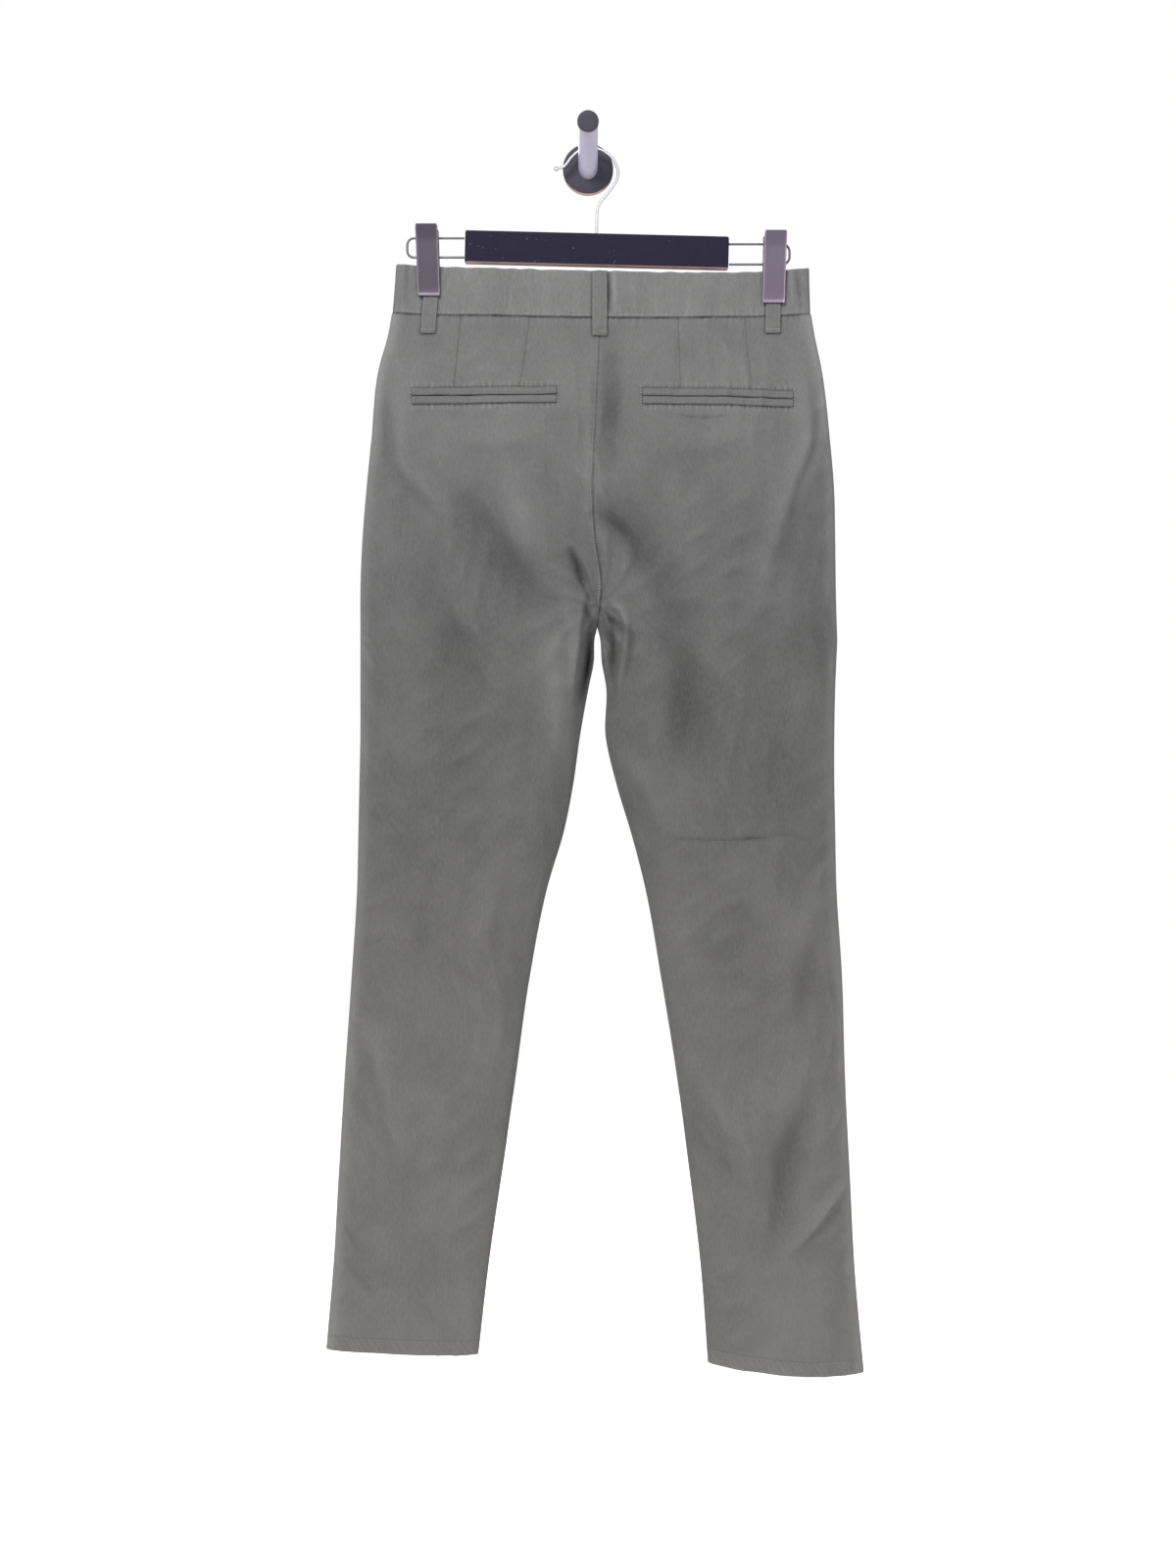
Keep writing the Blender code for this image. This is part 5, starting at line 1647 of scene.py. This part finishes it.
def on_cloth(surfaces, x, z, facing, lift=0.1):
    """Places along a seam, just proud of the cloth under them."""
    return [(a, cloth_y(surfaces, a, b, facing) + facing * lift, b) for a, b in zip(x, z)]


def straight(x0, z0, x1, z1, step=4.0):
    count = max(2, int(np.hypot(x1 - x0, z1 - z0) / step) + 1)
    return np.linspace(x0, x1, count), np.linspace(z0, z1, count)


def sew(name, runs, cloth):
    """One piece of thread work from several runs of places, by the stitch tree."""
    points, edges = [], []
    for run in runs:
        first = len(points)
        points.extend(run)
        edges.extend((first + k, first + k + 1) for k in range(len(run) - 1))
    guide_mesh = bpy.data.meshes.new(f"{name}_runs")
    guide_mesh.from_pydata((np.array(points) * MM).tolist(), edges, [])
    guide = bpy.data.objects.new(f"{name}_runs", guide_mesh)
    bpy.context.scene.collection.objects.link(guide)
    tree, sockets = stitch_tree()
    modifier = guide.modifiers.new("Stitches", "NODES")
    modifier.node_group = tree
    modifier[sockets["Stitch length"]] = cloth.stitch_length
    modifier[sockets["Thread width"]] = cloth.thread_width
    modifier[sockets["Seed"]] = SEED
    modifier[sockets["Thread"]] = thread_material(cloth)
    graph = bpy.context.evaluated_depsgraph_get()
    mesh = bpy.data.meshes.new_from_object(guide.evaluated_get(graph), depsgraph=graph)
    mesh.name = name
    guide.modifiers.clear()
    bpy.data.objects.remove(guide, do_unlink=True)
    bpy.data.meshes.remove(guide_mesh)
    bpy.data.node_groups.remove(tree)
    return place(name, mesh, thread_material(cloth))


def mouth_runs(pocket, surfaces):
    """Topstitching round a pocket mouth, with a short bar across each end."""
    welt = WELTS[pocket]
    off = WELT_HEIGHT + MOUTH_STITCH_OFF
    runs = []
    for upward in (1.0, -1.0):
        x, z = straight(welt.x0 - 1.5, welt.z0 + upward * off, welt.x1 + 1.5, welt.z1 + upward * off)
        runs.append(on_cloth(surfaces, x, z, -1))
    for x_end, z_end in ((welt.x0 - 1.6, welt.z0), (welt.x1 + 1.6, welt.z1)):
        for shift in (-0.45, 0.45):
            x, z = straight(x_end + shift, z_end - off + 1.0, x_end + shift, z_end + off - 1.0)
            runs.append(on_cloth(surfaces, x, z, -1))
    return runs


def loop_runs(loop, surfaces):
    """Stitches down both edges of a belt loop, and a bar across its foot."""
    top_z = float(smooth(BAND_TOP, "x", "z", np.array(loop.x_top))) - 1.5
    runs = []
    for side in (-0.5, 0.5):
        shift = side * LOOP_WIDTH * 0.74
        x, z = straight(loop.x_top + shift, top_z, loop.x_low + shift, loop.z_low + 1.0)
        runs.append(on_cloth(surfaces, x, z, loop.facing, 0.05))
    for up in (3.2, 4.0):
        reach = LOOP_WIDTH * 0.4
        x, z = straight(loop.x_low - reach, loop.z_low + up, loop.x_low + reach, loop.z_low + up)
        runs.append(on_cloth(surfaces, x, z, loop.facing, 0.05))
    return runs


def hem_runs(side, face, surfaces, depth):
    """The hem's stitching, from one fold of the leg to the other."""
    table = LEFT_HEM if side == "left" else RIGHT_HEM
    folds = ("left_out", "left_in") if side == "left" else ("right_in", "right_out")
    low, high = (getattr(LEGS[-1], fold) for fold in folds)
    x = np.minimum(np.linspace(low + 1.8, high - 2.2, 60), high - 3.0)
    z = smooth(table, "x", "z", x) + depth
    return [on_cloth(surfaces, x, z, -1 if face == "back" else 1)]


def make_stitches(cloth):
    """All the sewing that shows: pocket mouths, loops, hems, centre back seam and fly."""
    back = {side: surface_of(f"cloth_back_{side}") for side in ("left", "right")}
    for side, panel in back.items():
        sew(f"stitches_pocket_{side}", mouth_runs(f"back_pocket_{side}", panel), cloth)
    for replaced, loop in LOOPS.items():
        name = replaced.replace("belt_loop", "cloth_loop")
        sew(replaced.replace("belt_loop", "stitches_loop"), loop_runs(loop, surface_of(name)), cloth)
    depth = cloth.hem_depth / MM - 0.6
    for side, panel in back.items():
        front = surface_of(f"cloth_front_{side}")
        runs = hem_runs(side, "back", panel, depth) + hem_runs(side, "front", front, depth)
        sew(f"stitches_hem_{side}", runs, cloth)
    z = np.arange(-174.0, -447.0, -4.0)
    x = smooth(TRUNK, "z", "seam", z) - 2.2
    sew("stitches_centre_back", [on_cloth(back["left"], x, z, -1)], cloth)

    fly = surface_of("cloth_fly")
    z, inner, width = fly_outline(np.linspace(0.01, 0.985, 60))
    runs = [on_cloth(fly, inner - np.maximum(1.2, width - inset), z, 1) for inset in FLY_STITCH_INSETS]
    sew("stitches_fly", runs, cloth)


# ------------------------------------------------------------------------- cloth cuts

# Each sheet as it was cut: greatest width and length, and area, in metres
Cut = namedtuple("Cut", "width length area")


# ------------------------------------------------------------------------ button


def turned_mesh(name, rings, sides, smooth_angle=35.0):
    """A round piece from rings of (centre, radius, axis u, axis v), closed at both ends."""
    points, faces = [], []
    for centre, radius, axis_u, axis_v in rings:
        for step in range(sides):
            angle = 2.0 * pi * step / sides
            offset = np.array(axis_u) * cos(angle) + np.array(axis_v) * sin(angle)
            points.append(np.array(centre) + radius * offset)
    for ring in range(len(rings) - 1):
        for step in range(sides):
            a, b = ring * sides + step, ring * sides + (step + 1) % sides
            faces.append((a, b, b + sides, a + sides))
    faces.append(tuple(range(sides)))
    last = (len(rings) - 1) * sides
    faces.append(tuple(last + step for step in reversed(range(sides))))
    return mesh_of(name, points, faces, smooth_angle)


def along_y(centre, stations):
    """Rings round the Y axis: each station is a y and a radius."""
    x, z = centre
    return [((x, y, z), radius, (1, 0, 0), (0, 0, 1)) for y, radius in stations]


def joined(name, meshes):
    """Several meshes as one."""
    shape = bmesh.new()
    for mesh in meshes:
        shape.from_mesh(mesh)
        bpy.data.meshes.remove(mesh)
    made = bpy.data.meshes.new(name)
    shape.to_mesh(made)
    shape.free()
    return made


def make_button(cloth):
    """The waist button: a rim, a dished middle and four threaded holes."""
    low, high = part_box("waist_button")
    x, z = (low.x + high.x) / 2 / MM, (low.z + high.z) / 2 / MM
    base, top = low.y / MM, high.y / MM
    rim = BUTTON_RADIUS
    stations = [(base, rim - 1.2), (base + 0.5, rim - 0.35), (base + 1.2, rim)]
    stations += [(top - 0.7, rim), (top - 0.2, rim - 0.3), (top, rim - 0.9), (top - 0.1, rim - 1.6)]
    stations += [(top - 0.9, rim - 2.6), (top - 1.1, rim - 4.5), (top - 1.1, 0.4)]
    body = turned_mesh("button", along_y((x, z), stations), 48)
    place("waist_button_horn", body, button_material(cloth), ["waist_button"])
    strands = []
    for dx, dz in ((-1.5, 0.0), (1.5, 0.0), (0.0, -1.5), (0.0, 1.5)):
        across = (0, 0, 1) if dz == 0.0 else (1, 0, 0)
        side = (1, 0, 0) if dz == 0.0 else (0, 0, 1)
        rings = []
        for k, rise in ((-1.7, -1.3), (-0.9, -0.95), (0.0, -0.8), (0.9, -0.95), (1.7, -1.3)):
            centre = (x + dx + across[0] * k, top + rise, z + dz + across[2] * k)
            rings.append((centre, 0.5, side, (0, 1, 0)))
        strands.append(turned_mesh("strand", rings, 8))
    place("waist_button_thread", joined("thread", strands), thread_material(cloth))


# ---------------------------------------------------------------------- hanger pieces


def tube_mesh(name, route, radii, sides=16):
    """A round wire along a route of (x, z) in the hanger's plane."""
    route = np.array(route)
    along = unit(np.gradient(route, axis=0))
    rings = []
    for (x, z), (run_x, run_z), radius in zip(route, along, radii):
        rings.append(((x, HANGER_Y, z), radius, (run_z, 0.0, -run_x), (0.0, 1.0, 0.0)))
    return turned_mesh(name, rings, sides)


def make_rails(hanger):
    """The two bent wires that the clips slide on."""
    for replaced, rail in RAILS.items():
        sign = -1.0 if rail.x_end < rail.x_bar else 1.0
        route = [(rail.x_bar, rail.z_upper), (rail.x_bar + sign * 10.0, rail.z_upper)]
        turn_x = rail.x_end - sign * rail.corner
        corners = ((rail.z_upper - rail.corner, 90.0, 0.0), (rail.z_lower + rail.corner, 0.0, -90.0))
        for turn_z, first, last in corners:
            for angle in np.radians(np.linspace(first, last, 13)):
                across, up = rail.corner * cos(angle), rail.corner * sin(angle)
                route.append((turn_x + sign * across, turn_z + up))
        route += [(rail.x_bar + sign * 10.0, rail.z_lower), (rail.x_bar, rail.z_lower)]
        mesh = tube_mesh(replaced, route, [RAIL_RADIUS] * len(route))
        place(f"wire_{replaced}", mesh, rail_wire(hanger), [replaced])


def make_hook(hanger):
    """The hook's wire, over the post and down to a small ball."""
    line = bent([(bead.x, bead.z) for bead in HOOK], 5)
    radii = [HOOK_RADIUS] * len(line)
    route = list(line)
    tip = unit(line[-1] - line[-2])
    for angle in np.radians(np.arange(38.0, 175.0, 15.0)):
        route.append(line[-1] + tip * HOOK_BALL * (1.0 - cos(angle)))
        radii.append(HOOK_BALL * sin(angle))
    mesh = tube_mesh("wire", route, radii)
    place("wire_hanger_hook", mesh, bright_wire(hanger), ["hanger_hook"])


def make_bar(hanger):
    """The bar keeps its own solid and gets its lacquer."""
    for material_slot in made_of("hanger_bar").material_slots:
        material_slot.material = bar_material(hanger)


def jaw_line(clip, jaw, plate, count=40):
    """The bent middle line of a jaw, as (distance off the plane, height), and its middles."""
    share = evenly(count)
    off = np.interp(share, column(JAW_BENDS, "share"), column(JAW_BENDS, "off"))
    kernel = np.array([0.25, 0.5, 0.25])
    for _ in range(3):
        off[1:-1] = np.convolve(off, kernel, mode="valid")
    off = off - JAW_REACH[jaw] * np.clip((share - 0.5) / 0.4, 0.0, 1.0)
    facing = -1.0 if jaw == "room" else 1.0
    height = between(clip.z_top, clip.z_foot, share)
    middle = between(clip.x_top, clip.x_foot, share)
    return facing * (off + plate / 2.0), height, middle, facing


def make_clips(hanger):
    """Each clip: two plates with rolled edges, and the bent strip that holds them shut."""
    finish = clip_steel(hanger)
    plate = hanger.plate / MM
    for name, clip in CLIPS.items():
        for jaw in ("room", "wall"):
            off, height, middle, facing = jaw_line(clip, jaw, plate)
            right = np.array([0.4, 0.8, 0.9, 0.95, 0.985, 1.0])
            across = np.concatenate([-right[::-1], [0.0], right])
            half = CLIP_WIDTH / 2.0
            share = evenly(len(height))
            corner = 1.0 - 0.07 * slope_in(share, 0.02) - 0.05 * slope_in(share - 1.0, 0.02)
            xs = middle[:, None] + across * half * corner[:, None]
            zs = np.tile(height[:, None], (1, len(across)))
            rolled = 0.28 * slope_in(np.abs(across) - 0.95, 0.035)
            foot = 0.3 * slope_in(share - 0.985, 0.012)
            lip = np.maximum(rolled, foot[:, None])
            out = facing * (plate / 2.0 + lip - 0.25 * (np.abs(across) > 0.99))
            middle_y = HANGER_Y + off[:, None] + 0.0 * xs
            outside = np.stack([xs, middle_y + out, zs], axis=-1)
            inside = np.stack([xs, middle_y - facing * plate / 2.0, zs], axis=-1)
            # Painted tone of the clip, and painted highlights on its rolled edges and foot
            painted_clip_light = clip.tone + CLIP_PAINTED_EDGE_HIGHLIGHT * lip / 0.3
            mesh = wall_mesh(f"{name}_{jaw}", outside, inside, painted_clip_light)
            place(f"steel_{name}_{jaw}_jaw", mesh, finish, [f"{name}_{jaw}_jaw"])
        rail = RAILS[name.replace("clip", "rail")]
        crown = rail.z_upper + RAIL_RADIUS + SEAM_GAP + plate / 2.0 - CROWN_RISE
        half = SADDLE_HALF - plate / 2.0
        line = [(-half, rail.z_lower - 1.0), (-half, crown - 4.0)]
        for angle in np.radians(np.arange(180.0, -1.0, -12.0)):
            line.append((half * cos(angle), crown + CROWN_RISE * sin(angle)))
        line += [(half, crown - 4.0), (half, rail.z_lower - 1.0)]
        line = np.array(line)
        run = unit(np.gradient(line, axis=0))
        off = np.stack([run[:, 1], -run[:, 0]], axis=-1) * plate / 2.0
        middle = (clip.x_top + clip.x_foot) / 2.0
        across = np.linspace(-1.0, 1.0, 9) * SADDLE_WIDTH / 2.0
        sheets = []
        for edge in (line + off, line - off):
            xs = np.tile(middle + across, (len(edge), 1))
            ys = np.tile(HANGER_Y + edge[:, :1], (1, len(across)))
            zs = np.tile(edge[:, 1:], (1, len(across)))
            sheets.append(np.stack([xs, ys, zs], axis=-1))
        mesh = wall_mesh(f"{name}_saddle", *sheets)
        place(f"steel_{name}_saddle", mesh, bright_wire(hanger), [f"{name}_saddle"])


def softened(stations, radius, steps=5):
    """Stations of a turned piece with its last corner rounded."""
    (y0, r0), (y1, r1) = stations[-2:]
    sign = 1.0 if y1 > y0 else -1.0
    made = list(stations[:-1])
    made[-1] = (y0, r0)
    for angle in np.radians(np.linspace(0.0, 90.0, steps)):
        made.append((y1 - sign * radius * (1.0 - sin(angle)), r1 - radius * (1.0 - cos(angle))))
    made.append((y1, r1 * 0.5))
    return made


def make_wall_hook(hanger):
    """A disc on the wall, a post that rises out of it and a cap on the post's end."""
    disc = softened([(0.0, DISC_RADIUS), (-1.0, DISC_RADIUS), (-DISC_DEPTH, DISC_RADIUS)], 1.2)
    mesh = turned_mesh("disc", along_y((0.0, 0.0), disc), 96)
    place("hook_disc", mesh, disc_dark(hanger), ["wall_disc"])

    axis = np.array([0.0, -cos(POST_RISE), sin(POST_RISE)])
    up = np.array([0.0, sin(POST_RISE), cos(POST_RISE)])
    base = np.array([0.0, -DISC_DEPTH - SEAM_GAP, 0.0])
    slant = np.array([0.0, 0.0, 1.0 / cos(POST_RISE)])
    far = base + axis * POST_LENGTH
    across = (1.0, 0.0, 0.0)
    rings = []
    for share, upward in ((0.0, slant), (0.5, up), (1.0, slant)):
        rings.append((base + axis * POST_LENGTH * share, POST_RADIUS, across, upward))
    place("hook_post", turned_mesh("post", rings, 64), post_satin(hanger), ["wall_post"])
    cap = softened([(SEAM_GAP + out, CAP_RADIUS) for out in (0.0, 1.0, CAP_DEPTH)], 0.8)
    tall = (0.0, 0.0, CAP_STRETCH)
    rings = [(far - (0.0, out, 0.0), radius, across, tall) for out, radius in cap]
    place("hook_cap", turned_mesh("cap", rings, 64), disc_dark(hanger), ["wall_post_cap"])


# ---------------------------------------------------------------------------- studio


WHITE = (1.0, 1.0, 1.0, 1.0)
ROOM_COLOUR = (0.98, 0.99, 1.0, 1.0)
FLOOR_GLOW = 0.95
FLOOR_HALF = 4.0
MIRRORED = 0.7

# Round lights that face one spot: place and width in metres, and share of the key light
Light = namedtuple("Light", "name spot size share")
LIGHTS = (
    Light("key_light", (-0.9, -2.2, 1.5), 1.1, 1.0),
    Light("side_light", (1.5, -2.4, 0.6), 1.4, 0.3),
    Light("front_light", (-1.2, 2.3, 0.7), 1.4, 0.6),
)
LIT_SPOT = (0.0, 0.0, -0.55)


def seen_or_mirrored(tree):
    """1 for what the camera sees, less for what glossy pieces mirror, 0 for the rest."""
    path = shade(tree, "LightPath")
    mirrored = calc(tree, "MULTIPLY", path.outputs["Is Glossy Ray"], MIRRORED)
    return calc(tree, "MAXIMUM", path.outputs["Is Camera Ray"], mirrored)


def in_scene(name, data, spot=(0.0, 0.0, 0.0), turn=(0.0, 0.0, 0.0)):
    made = bpy.data.objects.new(name, data)
    made.location, made.rotation_euler = spot, turn
    bpy.context.scene.collection.objects.link(made)
    return made


def make_stage(studio):
    """A pale floor, soft studio light and the camera at the picture's angle."""
    scene = bpy.context.scene
    scene.view_settings.view_transform = "Standard"

    world = bpy.data.worlds.new("pale_room")
    world.use_nodes = True
    tree = world.node_tree
    tree.nodes.clear()
    seen = shade(tree, "Background", {"Color": WHITE, "Strength": 1.0}).outputs[0]
    lit = shade(tree, "Background", {"Color": ROOM_COLOUR, "Strength": studio.fill}).outputs[0]
    mix = shade(tree, "MixShader", {"Fac": seen_or_mirrored(tree), 1: lit, 2: seen})
    shade(tree, "OutputWorld", {"Surface": mix.outputs[0]})
    scene.world = world

    mesh = bpy.data.meshes.new("floor")
    corners = ((-1, -1), (1, -1), (1, 1), (-1, 1))
    spots = [(FLOOR_HALF * x, FLOOR_HALF * y, studio.floor_height) for x, y in corners]
    mesh.from_pydata(spots, [], [(0, 1, 2, 3)])
    pale, tree, shader = blank_material("pale_floor", (0.94, 0.94, 0.94), 0.9)
    glow = calc(tree, "MULTIPLY", seen_or_mirrored(tree), FLOOR_GLOW)
    feed(tree, shader, {"Emission Color": WHITE, "Emission Strength": glow})
    mesh.materials.append(pale)
    in_scene("floor", mesh)

    for light in LIGHTS:
        lamp = bpy.data.lights.new(light.name, "AREA")
        lamp.shape = "DISK"
        lamp.size = light.size
        lamp.energy = studio.key_power * light.share
        towards = Vector(LIT_SPOT) - Vector(light.spot)
        in_scene(light.name, lamp, light.spot, towards.to_track_quat("-Z", "Y").to_euler())

    lens = bpy.data.cameras.new("camera")
    lens.sensor_width = 36.0
    lens.lens = studio.lens
    spot = (0.0, -studio.camera_distance, studio.camera_height)
    scene.camera = in_scene("camera", lens, spot, (pi / 2.0, 0.0, 0.0))


# --------------------------------------------------------------------------- operators


class TROUSERS_OT_panels(Operator):
    """Makes the two back panels and the two front panels"""

    bl_idname = "trousers.panels"
    bl_label = "Back and front panels"

    def execute(self, context):
        make_panels(context.scene.trousers_cloth)
        return {"FINISHED"}


class TROUSERS_OT_bands(Operator):
    """Makes both halves of the waistband"""

    bl_idname = "trousers.bands"
    bl_label = "Waistband"

    def execute(self, context):
        make_bands(context.scene.trousers_cloth)
        return {"FINISHED"}


class TROUSERS_OT_pockets(Operator):
    """Makes the welts of both back pockets, and the darts above them"""

    bl_idname = "trousers.pockets"
    bl_label = "Back pockets and darts"

    def execute(self, context):
        cloth = context.scene.trousers_cloth
        make_welts(cloth)
        make_darts(cloth)
        return {"FINISHED"}


class TROUSERS_OT_loops(Operator):
    """Makes the five belt loops"""

    bl_idname = "trousers.loops"
    bl_label = "Belt loops"

    def execute(self, context):
        make_loops(context.scene.trousers_cloth)
        return {"FINISHED"}


class TROUSERS_OT_closing(Operator):
    """Makes the fly and the waist button"""

    bl_idname = "trousers.closing"
    bl_label = "Fly and button"

    def execute(self, context):
        cloth = context.scene.trousers_cloth
        make_fly(cloth)
        make_button(cloth)
        return {"FINISHED"}


class TROUSERS_OT_stitches(Operator):
    """Lays the stitches that show along every seam that has them"""

    bl_idname = "trousers.stitches"
    bl_label = "Stitches"

    def execute(self, context):
        make_stitches(context.scene.trousers_cloth)
        return {"FINISHED"}


class TROUSERS_OT_cuts(Operator):
    """Does nothing: no cut of the cloth is stated"""

    bl_idname = "trousers.cuts"
    bl_label = "Cut of the cloth"

    def execute(self, context):
        return {"FINISHED"}


class TROUSERS_OT_hanger(Operator):
    """Gives the hanger's bar its lacquer, and makes its rails and hook"""

    bl_idname = "trousers.hanger"
    bl_label = "Hanger bar, rails and hook"

    def execute(self, context):
        hanger = context.scene.trousers_hanger
        make_bar(hanger)
        make_rails(hanger)
        make_hook(hanger)
        return {"FINISHED"}


class TROUSERS_OT_clips(Operator):
    """Makes the hanger's two clips"""

    bl_idname = "trousers.clips"
    bl_label = "Clips"

    def execute(self, context):
        make_clips(context.scene.trousers_hanger)
        return {"FINISHED"}


class TROUSERS_OT_wall_hook(Operator):
    """Makes the wall hook's disc, post and cap"""

    bl_idname = "trousers.wall_hook"
    bl_label = "Wall hook"

    def execute(self, context):
        make_wall_hook(context.scene.trousers_hanger)
        return {"FINISHED"}


class TROUSERS_OT_stage(Operator):
    """Sets up the floor, the lights and the camera"""

    bl_idname = "trousers.stage"
    bl_label = "Studio"

    def execute(self, context):
        make_stage(context.scene.trousers_studio)
        return {"FINISHED"}


OPERATORS = (
    TROUSERS_OT_stage, TROUSERS_OT_panels, TROUSERS_OT_bands, TROUSERS_OT_pockets,
    TROUSERS_OT_loops, TROUSERS_OT_closing, TROUSERS_OT_stitches, TROUSERS_OT_cuts,
    TROUSERS_OT_hanger, TROUSERS_OT_clips, TROUSERS_OT_wall_hook,
)
SETTINGS = {
    "trousers_cloth": TrousersCloth,
    "trousers_hanger": TrousersHanger,
    "trousers_studio": TrousersStudio,
}


class TROUSERS_PT_sidebar(bpy.types.Panel):
    """Settings and buttons for the trousers, their hanger and the studio"""

    bl_label = "Trousers"
    bl_idname = "TROUSERS_PT_sidebar"
    bl_space_type = "VIEW_3D"
    bl_region_type = "UI"
    bl_category = "Trousers"

    def draw(self, context):
        for name, group in SETTINGS.items():
            box = self.layout.box()
            box.label(text=group.__doc__)
            for field in group.__annotations__:
                box.prop(getattr(context.scene, name), field)
        for operator in OPERATORS:
            self.layout.operator(operator.bl_idname)


CLASSES = (*SETTINGS.values(), *OPERATORS, TROUSERS_PT_sidebar)


def register():
    for made in CLASSES:
        bpy.utils.register_class(made)
    for name, group in SETTINGS.items():
        setattr(bpy.types.Scene, name, bpy.props.PointerProperty(type=group))


def unregister():
    for name in SETTINGS:
        delattr(bpy.types.Scene, name)
    for made in reversed(CLASSES):
        bpy.utils.unregister_class(made)


def main():
    register()
    for operator in OPERATORS:
        area, name = operator.bl_idname.split(".")
        getattr(getattr(bpy.ops, area), name)()


if __name__ == "__main__":
    main()
